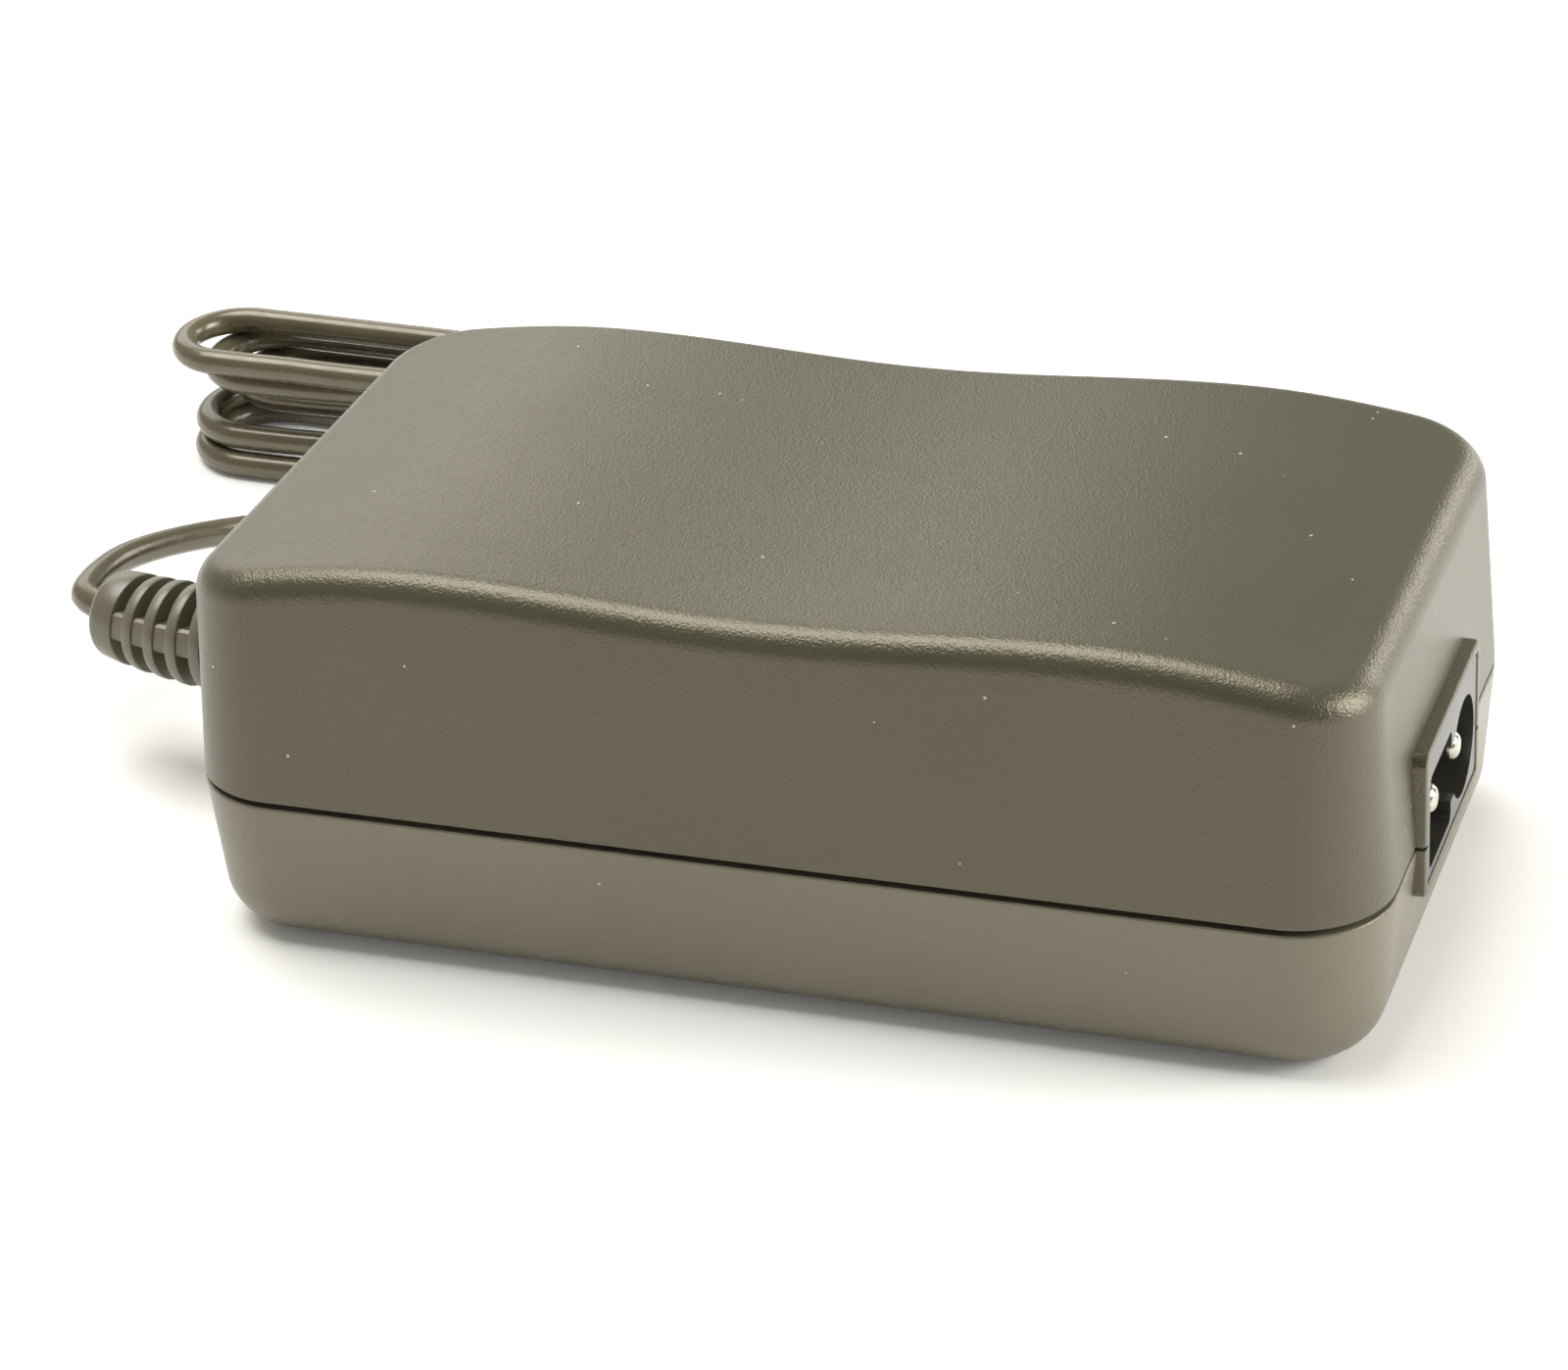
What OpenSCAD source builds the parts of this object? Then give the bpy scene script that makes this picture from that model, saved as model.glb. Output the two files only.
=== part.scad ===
// Laptop power adapter: two-shell housing, figure-8 mains inlet, DC lead in a hank, barrel plug.
// Frame: origin on the underside at the housing's centre, +X to the inlet, +Z up, millimetres.

/* [Housing] */
// Length of the housing at the parting line
body_len = 96.5; // [95:0.5:99]
// Width of the housing at the parting line
body_wid = 52; // [51:0.5:55]
// Height of the two humps of the wavy top
crown_z = 34.3; // [34:0.1:37]
// Height of the parting line
part_z = 13.5; // [13.2:0.1:13.8]
// Radius of the four upright corners
corner_r = 7.7; // [6.5:0.1:9]
// Depth of the dip between the two humps
wave_dip = 1.05; // [0:0.05:1.2]
// Drop of the top from a hump to the end
end_drop = 2.7; // [1:0.1:2.9]
// Place of a hump, as a share of half the length
hump_at = 0.55; // [0.45:0.01:0.65]
// Rounding of the top edge
top_edge_r = 2.4; // [1.5:0.1:3]
// Rounding of the bottom edge
base_edge_r = 4.6; // [3:0.1:4.8]
// Draft of the upper shell's sides, degrees
upper_draft = 3.3; // [1:0.1:3.4]
// Draft of the lower shell's sides, degrees
lower_draft = 4.6; // [1:0.1:4.8]
// Wall of both shells
wall = 2.2; // [2:0.1:2.3]
// Height of the shadow groove at the parting line
groove_h = 0.45; // [0.3:0.05:0.6]
// Height of the locating tongue above the parting line
tongue_h = 1.6; // [1.3:0.1:1.8]

/* [Inlet] */
// Spacing of the two contact pins
pin_pitch = 8.6; // [8.4:0.1:8.8]
// Diameter of a contact pin
pin_d = 2.4; // [2.2:0.1:2.6]
// Height of the pins above the underside
pin_z = 14.6; // [14.5:0.1:14.9]
// Sideways place of the inlet from the centre line
inlet_y = -1.3; // [-2:0.1:0]
// Width of the raised bezel
bezel_w = 20.5; // [20.4:0.1:21.4]
// Height of the raised bezel
bezel_h = 12.6; // [12.5:0.1:13]
// Height of the bezel's centre above the pins
bezel_up = 0.55; // [0.45:0.05:0.65]
// Stand of the bezel out of the end wall
bezel_proud = 0.7; // [0.5:0.05:1.2]
// Width of the bezel's rim
bezel_rim = 1; // [0.8:0.05:1.05]
// Half width of the socket's round lobe
lobe_r = 4.1; // [3.95:0.05:4.15]
// Half width of the socket's square lobe
lobe_flat = 4; // [3.9:0.05:4.1]
// Depth of the socket
socket_depth = 12; // [10:0.5:12.5]

/* [Strain relief] */
// Length of the strain relief outside the housing
relief_len = 19; // [18:0.1:21]
// Radius of the strain relief at the housing
relief_base_r = 5; // [4.8:0.1:5.4]
// Radius of the strain relief at its tip
relief_tip_r = 3.85; // [3.6:0.05:4.3]
// Sideways lean of the tip, degrees
relief_lean = 21; // [12:1:24]
// Number of slots along the strain relief
relief_slots = 7; // [5:1:7]
// Pitch of the slots
slot_pitch = 2.15; // [2:0.05:2.15]
// Width of one slot
slot_w = 1; // [0.8:0.05:1.1]
// Tilt of the webs above the side, degrees
web_tilt = 16.5; // [0:0.5:20]

/* [DC lead] */
// Diameter of the cord
cord_d = 2.5; // [2.3:0.05:2.55]
// Length of the hank's straight runs
hank_run = 76; // [73:1:78]
// Radius of the end loops in each layer, from the floor up
loop_r = [6.3, 5.8, 5.6, 5.6, 5]; // [4.5:0.1:6.5]
// How far each layer's loops reach past the straight runs at the far end
loop_reach = [0.6, 1, -1.5, 0.4, 3.2]; // [-2:0.1:4]
// How far each layer lies behind the lowest
loop_shift = [0, 0.4, 4, 1.7, -0.4]; // [-1:0.1:4.5]
// Upward step from layer to layer
hank_rise = 2.95; // [2.95:0.01:3]
// Draw-in of each side at the waist
hank_draw = 1.5; // [0:0.1:1.6]
// Turn of the hank toward the housing, degrees
hank_turn = 2.5; // [1.5:0.5:3]
// Thickness of the tie's strap
tie_t = 0.5; // [0.4:0.1:0.7]
// Width of the tie's strap
tie_w = 4; // [3:0.5:6]

/* [Plug] */
// Outer diameter of the plug's barrel
barrel_d = 5.5; // [5.45:0.05:5.55]
// Bore of the plug's inner contact
contact_bore = 2.5; // [2.45:0.05:2.55]
// Length of the plug's barrel
barrel_len = 9.5; // [9:0.5:10]
// Diameter of the plug's grip
grip_d = 10; // [9.6:0.2:11]
// Length of the plug's grip
grip_len = 22; // [20:1:24]

/* [Board] */
// Thickness of the circuit board
board_t = 1.6; // [1.4:0.1:1.8]
// Clearance round the edge of the circuit board
board_gap = 0.8; // [0.6:0.1:1]
// Height of the posts that carry the board
post_h = 3.2; // [3:0.1:3.3]
// Radius of a post
post_r = 2; // [1.8:0.1:2.2]
// Diameter of the mains capacitor
bulk_d = 17; // [16:0.5:17.5]
// Height of the mains capacitor
bulk_h = 21; // [18:0.5:22]
// Width across the transformer's core
core_wid = 28; // [26:0.5:28]
// Thickness of the transformer's core
core_t = 12; // [10:0.5:12]
// Height of the transformer's core
core_h = 21; // [20:0.5:22]
// Width of the core's centre leg
core_leg = 7; // [6:0.5:7]
// Height of a heatsink
sink_h = 21; // [19:0.5:21.5]
// Thickness of a heatsink
sink_t = 1.6; // [1.4:0.1:1.8]
// Diameter of an output capacitor
out_cap_d = 8; // [7:0.5:8]
// Height of an output capacitor
out_cap_h = 18; // [14:0.5:20]

/* [Hidden] */

$fn = 48;
eps = 0.01;
fit = 0.05;                 // a pin in its moulding
clear = 0.3;                // a piece beside the piece that carries it

half_len = body_len / 2;
half_wid = body_wid / 2;
land = wall / 2;            // outer half of the rim, beside the tongue
tongue_gap = 0.1;
floor_z = wall;             // inside of the lower shell's floor
upper_inset = tan(upper_draft) * (crown_z - top_edge_r - end_drop / 2 - part_z);
lower_inset = tan(lower_draft) * (part_z - base_edge_r);
min_r = 0.8;                // least corner radius inside

board_z = floor_z + post_h;             // underside of the circuit board
deck_z = board_z + board_t;             // its top
board_x0 = -half_len + 8.25;
board_x1 = half_len - 16.75;
board_half_w = half_wid - wall - lower_inset - board_gap;

// ---------- housing surfaces ----------

// Height of the top at a place along X: a dip between two humps, falling to both ends.
function top_z(x) =
    let (u = min(abs(x) / half_len, 1))
    crown_z - (u < hump_at
        ? wave_dip * (1 + cos(180 * u / hump_at)) / 2
        : end_drop * (1 - cos(90 * (u - hump_at) / (1 - hump_at))));

// A quarter arc of a corner centred at c.
function corner(c, r, from, arcs) =
    [for (i = [0:arcs]) let (a = from + 90 * i / arcs) c + r * [cos(a), sin(a)]];

// Points strictly inside a long side, from x0 to x1.
function side(x0, x1, y, spans) =
    [for (i = [1:1:spans - 1]) [x0 + (x1 - x0) * i / spans, y]];

// The parting-line outline drawn in by an inset: back half, then front half.
function outline(inset, arcs, spans) =
    let (
        r = max(corner_r - inset, min_r),
        a = half_len - inset - r,
        b = half_wid - inset - r
    )
    concat(
        corner([a, b], r, 0, arcs), side(a, -a, b + r, spans),
        corner([-a, b], r, 90, arcs), corner([-a, -b], r, 180, arcs),
        side(-a, a, -b - r, spans), corner([a, -b], r, 270, arcs)
    );

function flat_ring(inset, z, arcs, spans) =
    [for (p = outline(inset, arcs, spans)) [p.x, p.y, z]];
function wave_ring(inset, below, arcs, spans) =
    [for (p = outline(inset, arcs, spans)) [p.x, p.y, top_z(p.x) - below]];

// Closed solid through rings of equal length, each capped from one half to the other.
module loft(rings) {
    n = len(rings[0]);
    last = (len(rings) - 1) * n;
    points = [for (ring = rings) each ring];
    sides = [for (k = [0:len(rings) - 2], i = [0:n - 1])
        let (a = k * n + i, b = k * n + (i + 1) % n)
        each [[a, a + n, b + n], [a, b + n, b]]];
    caps = [for (i = [0:n / 2 - 2])
        let (j = n - 1 - i)
        each concat(
            [[i, i + 1, j], [last + i, last + j, last + i + 1]],
            i < n / 2 - 1 ? [[i + 1, j - 1, j], [last + i + 1, last + j, last + j - 1]] : []
        )];
    polyhedron(points, concat(sides, caps), convexity = 8);
}

// Solid inside the upper skin, drawn in by t all round and t below the top.
module upper_form(t, z0, r, steps, arcs, spans) {
    loft(concat(
        [flat_ring(t, z0, arcs, spans)],
        [for (k = [0:steps])
            let (a = 90 * k / steps)
            wave_ring(t + upper_inset + r * (1 - cos(a)), t + r * (1 - sin(a)), arcs, spans)]
    ));
}

// Solid inside the lower skin, drawn in by t all round and t above the underside.
module lower_form(t, z1, r, steps, arcs) {
    loft(concat(
        [for (k = [0:steps])
            let (a = 90 * k / steps)
            flat_ring(t + lower_inset + r * (1 - sin(a)), t + r * (1 - cos(a)), arcs, 1)],
        [flat_ring(t, z1, arcs, 1)]
    ));
}

// ---------- inlet ----------

face_x = half_len + bezel_proud;        // front of the bezel and of the inlet
inner_x = half_len - wall;              // inside of the end wall at the parting line
bezel_z = pin_z + bezel_up;
bezel_back = inner_x - 1;
socket_back = face_x - socket_depth;
inlet_back = socket_back - 4;
inlet_w = bezel_w - 2 * bezel_rim - 0.3;
inlet_h = bezel_h - 2 * bezel_rim - 0.3;
flange_x = inner_x - 1.3;               // front of the flange, clear of both drafted walls
flange_t = 1.8;
pin_reach = 0.35;                       // tip of a pin behind the face
pin_tail = 2;                           // pin behind the inlet body
pin_seat = 0.25;                        // a pin is this much thicker in the moulding

// Prism along X over a rounded rectangle in Y and Z.
module x_slab(x0, x1, y, z, w, h, r) {
    translate([x0, y, z])
        rotate([90, 0, 90])
            linear_extrude(x1 - x0)
                rounded(w, h, r);
}

module rounded(w, h, r) {
    union() {
        square([w - 2 * r, h], center = true);
        square([w, h - 2 * r], center = true);
        for (sx = [-1, 1], sy = [-1, 1])
            translate([sx * (w / 2 - r), sy * (h / 2 - r)])
                circle(r, $fn = 24);
    }
}

module bezel() {
    difference() {
        x_slab(bezel_back, face_x, inlet_y, bezel_z, bezel_w, bezel_h, 1.2);
        inlet_bore();
    }
}

// Way through the end wall for the inlet body.
module inlet_bore() {
    x_slab(bezel_back - 5, face_x + 5, inlet_y, bezel_z,
        bezel_w - 2 * bezel_rim, bezel_h - 2 * bezel_rim, 0.8);
}

// Half of the bezel, above (side 1) or below (side -1) the shadow groove.
module bezel_half(side) {
    intersection() {
        bezel();
        z0 = side > 0 ? part_z + groove_h / 2 : 0;
        z1 = side > 0 ? crown_z : part_z - groove_h / 2;
        translate([bezel_back - 1, -half_wid, z0])
            cube([10, body_wid, z1 - z0]);
    }
}

// Two ribs of a shell that hold the flange of the inlet from behind, from z0 to z1.
cradle_x = flange_x - flange_t - 0.15;
cradle_t = 1.6;
module cradle(z0, z1) {
    w = inlet_w + 7;
    difference() {
        translate([cradle_x - cradle_t, inlet_y - w / 2, z0])
            cube([cradle_t, w, z1 - z0]);
        translate([cradle_x - cradle_t - 1, inlet_y - inlet_w / 2 - 0.15, bezel_z - inlet_h / 2 - 0.15])
            cube([cradle_t + 2, inlet_w + 0.3, inlet_h + 0.3]);
    }
}

// ---------- strain relief ----------

relief_z = part_z - 0.3;
relief_r = relief_base_r - 0.8;         // neck in the end walls
tab_x = -inner_x + 0.9;                 // outer face of the flange inside
tab_t = 1.6;
bend_len = relief_len * 0.75;           // the rest runs straight
bend_r = bend_len / relief_lean * 180 / PI;
straight_len = relief_len - bend_len;
wall_x = -half_len - 0.05;
cord_r = cord_d / 2;

// Place and heading on the strain relief's axis, s outside the wall.
function relief_turn(s) = max(s - straight_len, 0) / bend_r * 180 / PI;
function relief_at(s) =
    let (a = relief_turn(s))
    s < straight_len
        ? [wall_x - s, 0, relief_z]
        : [wall_x - straight_len - bend_r * sin(a), bend_r * (1 - cos(a)), relief_z];
function relief_radius(s) = relief_base_r + (relief_tip_r - relief_base_r) * s / relief_len;

// Puts a child drawn along +Z from the origin onto the axis at s.
module on_relief(s) {
    translate(relief_at(s))
        rotate([0, 0, -relief_turn(s)])
            rotate([0, -90, 0])
                children();
}

// Axis of the cord through the strain relief, from x0 inside the housing to s outside the wall.
function grip_path(x0, s) = concat(
    [[x0, 0, relief_z], [wall_x - straight_len / 2, 0, relief_z]],
    [for (k = [0:6]) relief_at(straight_len + (s - 0.4 - straight_len) * k / 6)],
    [relief_at(s)]
);

nose_solid = 1.8;                       // nose in front of the last full pitch
nose_len = nose_solid + slot_pitch - slot_w;
slot_first = relief_len - relief_slots * slot_pitch - nose_solid;

// ---------- shells ----------

post_x = [board_x0 + 3.5, board_x1 - 3.5];
post_y = board_half_w - 3.5;
pip_r = 1;

module posts() {
    for (x = post_x, sy = [-1, 1])
        translate([x, sy * post_y, floor_z - 0.5]) {
            cylinder(h = post_h + 0.5, r = post_r, $fn = 24);
            cylinder(h = post_h + 0.5 + board_t + 0.6, r = pip_r, $fn = 24);
        }
}

module neck_bore() {
    translate([-half_len - 6, 0, relief_z])
        rotate([0, 90, 0])
            cylinder(h = 12, r = relief_r + 0.1);
}

module upper_shell() {
    color([0.36, 0.35, 0.33])
    difference() {
        union() {
            difference() {
                upper_form(0, part_z + groove_h / 2, top_edge_r, 5, 8, 20);
                upper_form(wall, part_z - 3, 1, 2, 4, 10);
                loft([flat_ring(land, part_z - 2, 6, 1), flat_ring(land, part_z + tongue_h, 6, 1)]);
            }
            bezel_half(1);
            cradle(part_z + 2, crown_z - wall - 1.5);
        }
        inlet_bore();
        neck_bore();
    }
}

module lower_shell() {
    color([0.34, 0.33, 0.31])
    difference() {
        union() {
            difference() {
                union() {
                    lower_form(0, part_z - groove_h / 2, base_edge_r, 5, 8);
                    loft([
                        flat_ring(land + tongue_gap, part_z - 1, 6, 1),
                        flat_ring(land + tongue_gap, part_z + tongue_h, 6, 1)
                    ]);
                }
                lower_form(wall, part_z + 3, base_edge_r - wall, 3, 6);
            }
            bezel_half(-1);
            cradle(floor_z - 0.5, part_z - 0.2);
            posts();
        }
        inlet_bore();
        neck_bore();
    }
}

// ---------- inlet pieces ----------

module socket() {
    x0 = socket_back;
    x1 = face_x + 1;
    lobe = pin_pitch / 2;
    translate([x0, inlet_y, pin_z])
        rotate([90, 0, 90])
            linear_extrude(x1 - x0)
                union() {
                    translate([lobe, 0])
                        circle(lobe_r);
                    translate([-lobe, 0])
                        rounded(2 * lobe_flat, 2 * lobe_flat, 0.7);
                    square([lobe, 4.8], center = true);
                }
}

module inlet_body() {
    color([0.1, 0.1, 0.1])
    difference() {
        union() {
            x_slab(inlet_back, face_x - 0.1, inlet_y, bezel_z, inlet_w, inlet_h, 0.6);
            x_slab(flange_x - flange_t, flange_x, inlet_y, bezel_z, inlet_w + 4, inlet_h + 2.6, 1);
        }
        socket();
        for (sy = [-1, 1])
            translate([inlet_back - 1, inlet_y + sy * pin_pitch / 2, pin_z])
                rotate([0, 90, 0])
                    cylinder(h = 8, r = pin_d / 2 + pin_seat + fit);
    }
}

// Contact pin with a domed tip and a collar behind the moulding.
module inlet_pin(sy) {
    r = pin_d / 2;
    length = face_x - pin_reach - inlet_back + pin_tail;
    color([0.78, 0.77, 0.72])
    translate([inlet_back - pin_tail, inlet_y + sy * pin_pitch / 2, pin_z])
        rotate([0, 90, 0])
            rotate_extrude()
                polygon(concat(
                    [[0, 0], [r + 0.7, 0], [r + 0.7, pin_tail - 0.1], [r + pin_seat, pin_tail - 0.1]],
                    [[r + pin_seat, pin_tail + 4], [r, pin_tail + 4]],
                    [for (a = [0:15:90]) [r - 0.8 + 0.8 * cos(a), length - 0.8 + 0.8 * sin(a)]],
                    [[0, length]]
                ));
}

module inlet_pin_line() {
    inlet_pin(1);
}

module inlet_pin_neutral() {
    inlet_pin(-1);
}

// Stiff wire from the back of a pin down onto the board.
wire_r = 0.9;
wire_bend = 2.4;
module inlet_wire(sy) {
    x = inlet_back - pin_tail;
    drop = pin_z - wire_bend;
    translate([x, inlet_y + sy * pin_pitch / 2, 0])
        rotate([90, 0, 0]) {
            translate([0, drop, 0])
                rotate([0, 0, 90])
                    rotate_extrude(angle = 90)
                        translate([wire_bend, 0])
                            circle(wire_r, $fn = 24);
            translate([-wire_bend, deck_z, 0])
                rotate([-90, 0, 0])
                    cylinder(h = drop - deck_z, r = wire_r, $fn = 24);
        }
}

module inlet_wire_line() {
    color([0.35, 0.18, 0.1])
    inlet_wire(1);
}

module inlet_wire_neutral() {
    color([0.15, 0.3, 0.6])
    inlet_wire(-1);
}

// ---------- strain relief and cord ----------

module strain_relief() {
    color([0.12, 0.12, 0.12])
    difference() {
        union() {
            // flange and neck held by the shells
            translate([wall_x - 1, 0, relief_z])
                rotate([0, 90, 0])
                    cylinder(h = 1 + tab_x + tab_t / 2 - wall_x, r = relief_r);
            translate([tab_x, 0, relief_z])
                rotate([0, 90, 0])
                    cylinder(h = tab_t, r = relief_r + 1.8);
            // core
            loft(tube_rings(grip_path(tab_x + 0.5, relief_len - 1), cord_d + 2, 24));
            // collar, ribs and the webs between them
            on_relief(0)
                cylinder(h = slot_first, r1 = relief_radius(0), r2 = relief_radius(slot_first));
            for (k = [0:relief_slots - 1]) {
                s = slot_first + k * slot_pitch;
                if (k < relief_slots - 1)
                    on_relief(s + slot_w)
                        cylinder(
                            h = slot_pitch - slot_w,
                            r1 = relief_radius(s + slot_w), r2 = relief_radius(s + slot_pitch)
                        );
                on_relief(s - 0.3)
                    rotate([0, 0, web_tilt])
                        translate([-1.2, -relief_radius(s) + 0.35, 0])
                            cube([2.4, 2 * relief_radius(s) - 0.7, slot_w + 0.6]);
            }
            on_relief(relief_len - nose_len)
                rotate_extrude()
                    polygon(concat(
                        [[0, 0], [relief_radius(relief_len - nose_len), 0]],
                        [for (a = [0:15:90])
                            [relief_tip_r - 0.7 + 0.7 * cos(a), nose_len - 0.7 + 0.7 * sin(a)]],
                        [[0, nose_len]]
                    ));
        }
        loft(tube_rings(grip_path(gripped_x, relief_len + 0.5), cord_d + 2 * fit, 16));
    }
}

// Cord inside the strain relief, from the housing to the tip.
gripped_x = tab_x + tab_t + 1;
module dc_cord_gripped() {
    color([0.16, 0.15, 0.14])
    loft(tube_rings(grip_path(gripped_x, relief_len), cord_d, 16));
}

function unit(v) = v / norm(v);

// Rings of a tube of diameter d swept along a path, square to it.
function tube_rings(path, d, sides) =
    let (last = len(path) - 1)
    [for (i = [0:last])
        let (
            t = unit(path[min(i + 1, last)] - path[max(i - 1, 0)]),
            u = unit(cross(t, [0, 0, 1])),
            v = cross(t, u)
        )
        [for (k = [0:sides - 1])
            let (a = 360 * (k + 0.5) / sides)
            path[i] + d / 2 * (cos(a) * u + sin(a) * v)]];

function path_length(path) =
    [for (i = [1:len(path) - 1]) norm(path[i] - path[i - 1])] * [for (i = [1:len(path) - 1]) 1];

// Hank: one loop to a layer. The cord slides in under its own first loop, climbs a layer on
// each front run and comes off the top loop on the outer side.
hank_x = -41.2;
hank_y = 61.2;
layers = len(loop_r);
half_run = 5;               // rings on half a run; a fold takes seven
fold = 7;
loop_rings = 4 * half_run + 2 * fold;
climb = 8;                  // rings that a climb takes
q_in = -2;
q_out = layers * loop_rings - 2.5;
hank_lift = tie_t + clear;  // the strap passes under the runs

function ease(x) = let (c = max(min(x, 1), 0)) c * c * (3 - 2 * c);

// A layer's value of v, blended into the next layer's along each climb.
function blend(v, q) = v[0] + [for (k = [1:layers - 1]) v[k] - v[k - 1]]
    * [for (k = [1:layers - 1]) ease((q - k * loop_rings) / climb + 0.5)];

// Sets a point of the hank down, turned about the middle of its far end loops.
function hank_place(p) =
    let (x = p.x + hank_run / 2)
    [
        hank_x - hank_run / 2 + x * cos(hank_turn) + p.y * sin(hank_turn),
        hank_y - x * sin(hank_turn) + p.y * cos(hank_turn),
        p.z
    ];

// How far the cord's first and last lengths lie outside the loop beside them.
function hank_outside(q) =
    let (first = ease(q / climb + 0.5), last = 1 - ease((q - layers * loop_rings) / climb + 0.5))
    hank_rise * (sqrt(1 - first * first) + sqrt(1 - last * last));

function hank_at(q) =
    let (
        k = max(min(floor(q / loop_rings), layers - 1), 0),
        p = q - k * loop_rings,
        r = blend(loop_r, q),
        h = hank_run / 2,
        far = h + loop_reach[k],
        a1 = half_run + fold,
        a2 = a1 + 2 * half_run,
        a3 = a2 + fold,
        xy = p < half_run ? [p / half_run * h, -r]
            : p < a1 ? [h + r * sin((p - half_run) / fold * 180), -r * cos((p - half_run) / fold * 180)]
            : p < a1 + half_run ? [(a1 + half_run - p) / half_run * h, r]
            : p < a2 ? [(a1 + half_run - p) / half_run * far, r]
            : p < a3 ? [-far - r * sin((p - a2) / fold * 180), r * cos((p - a2) / fold * 180)]
            : [(p - loop_rings) / half_run * far, -r],
        w = abs(xy.x) < h ? pow(cos(90 * xy.x / h), 2) : 0
    )
    hank_place([
        xy.x,
        xy.y - sign(xy.y) * hank_draw * w + blend(loop_shift, q) - hank_outside(q),
        cord_r + hank_rise * blend([for (j = [0:layers - 1]) j], q) + hank_lift * w
    ]);

hank_in = hank_at(q_in);
hank_in_dir = unit(hank_at(q_in + 0.3) - hank_in);
hank_out = hank_at(q_out);
hank_out_dir = unit(hank_out - hank_at(q_out - 0.3));
hank_path = concat(
    [hank_in - cord_d * hank_in_dir],
    [for (q = [q_in:q_out]) hank_at(q)],
    [hank_out, hank_out + cord_d * hank_out_dir]
);

// Least distance between the tube's own lengths, ten points or more apart.
hank_gap = min([for (i = [0:len(hank_path) - 11], j = [i + 10:len(hank_path) - 1])
    norm(hank_path[i] - hank_path[j])]) - cord_d;
echo(hank_least_gap = hank_gap, hank_length = path_length(hank_path));

// Lead: from the tip of the strain relief down to the hank. Points chosen by hand.
tip = relief_at(relief_len);
tip_dir = [-cos(relief_lean), sin(relief_lean), 0];
lead_points = [
    [-70.9, 4.6, 13.3], [-71.9, 7, 13.2], [-72.6, 10, 12.8], [-72.9, 14, 12.2], [-72.5, 18, 11.4],
    [-71.5, 22.5, 10.3], [-70.2, 27, 9], [-69.2, 32, 7.2], [-69, 37, 5], [-69.4, 41, 3.2],
    [-69.8, 44.6, 2], [-69.6, 48.2, 1.6], [-68, 51.4, 1.5], [-65.8, 53, 1.6]
];
tip_shift = tip - [-67, 2.6, 13.2];
hank_shift = hank_in - cord_d * hank_in_dir - [-63.3, 53.4, 1.6];
lead_path = concat(
    [tip, tip + cord_d * tip_dir],
    [for (i = [0:len(lead_points) - 1])
        let (w = i / (len(lead_points) - 1))
        lead_points[i] + tip_shift * (1 - w) + hank_shift * w],
    [hank_in - 2 * cord_d * hank_in_dir, hank_in - cord_d * hank_in_dir]
);

// Tail: from the top of the hank down to the plug. Points chosen by hand.
plug_x = 4;
plug_y = 43.5;
tail_points = [
    [-52, 51.6, 13.2], [-47.5, 49.2, 13.2], [-43.5, 47.9, 13], [-38, 46.8, 12.6],
    [-31, 45.6, 11.8], [-24, 44.7, 10.6], [-16, 44, 9], [-9, 43.6, 7.2], [-3, 43.5, 5.6]
];
tail_start = hank_out + cord_d * hank_out_dir;
tail_shift = tail_start - [-57.6, 53.4, 13.1];
plug_shift = [0, 0, grip_d / 2 - 5];
tail_path = concat(
    [tail_start, tail_start + cord_d * hank_out_dir],
    [for (i = [0:len(tail_points) - 1])
        let (w = i / (len(tail_points) - 1))
        tail_points[i] + tail_shift * (1 - w) + plug_shift * w],
    [[plug_x - cord_d, plug_y, grip_d / 2], [plug_x, plug_y, grip_d / 2]]
);
echo(lead_length = path_length(lead_path), tail_length = path_length(tail_path));

module dc_cord_lead() {
    color([0.16, 0.15, 0.14])
    loft(tube_rings(lead_path, cord_d, 8));
}

module dc_cord_hank() {
    color([0.16, 0.15, 0.14])
    loft(tube_rings(hank_path, cord_d, 6));
}

module dc_cord_tail() {
    color([0.16, 0.15, 0.14])
    loft(tube_rings(tail_path, cord_d, 8));
}

// Strap round the waist of the hank, its end lapped on the side toward the housing.
module hank_tie() {
    front = loop_r[0] + hank_outside(0) - hank_draw + cord_r + clear;
    back = max(loop_r + loop_shift) - hank_draw + cord_r + clear;
    inner_w = front + back;
    inner_h = hank_rise * (layers - 1) + cord_d + 2 * clear;
    color([0.08, 0.08, 0.08])
    translate(hank_place([0, (back - front) / 2, tie_t + inner_h / 2]))
        rotate([90, 0, 90 - hank_turn])
            translate([0, 0, -tie_w / 2]) {
                linear_extrude(tie_w)
                    difference() {
                        rounded(inner_w + 2 * tie_t, inner_h + 2 * tie_t, 2 + tie_t);
                        rounded(inner_w, inner_h, 2);
                    }
                translate([-inner_w / 2 - 2 * tie_t + eps, -3, 0])
                    cube([tie_t, 6, tie_w]);
            }
}

// ---------- plug ----------

barrel_x = plug_x + grip_len;           // front of the grip
pocket = 5;                             // part of the metal inside the grip
barrel_seat = 0.25;                     // the barrel is this much thicker in there

module on_plug(x) {
    translate([x, plug_y, grip_d / 2])
        rotate([0, 90, 0])
            children();
}

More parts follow.
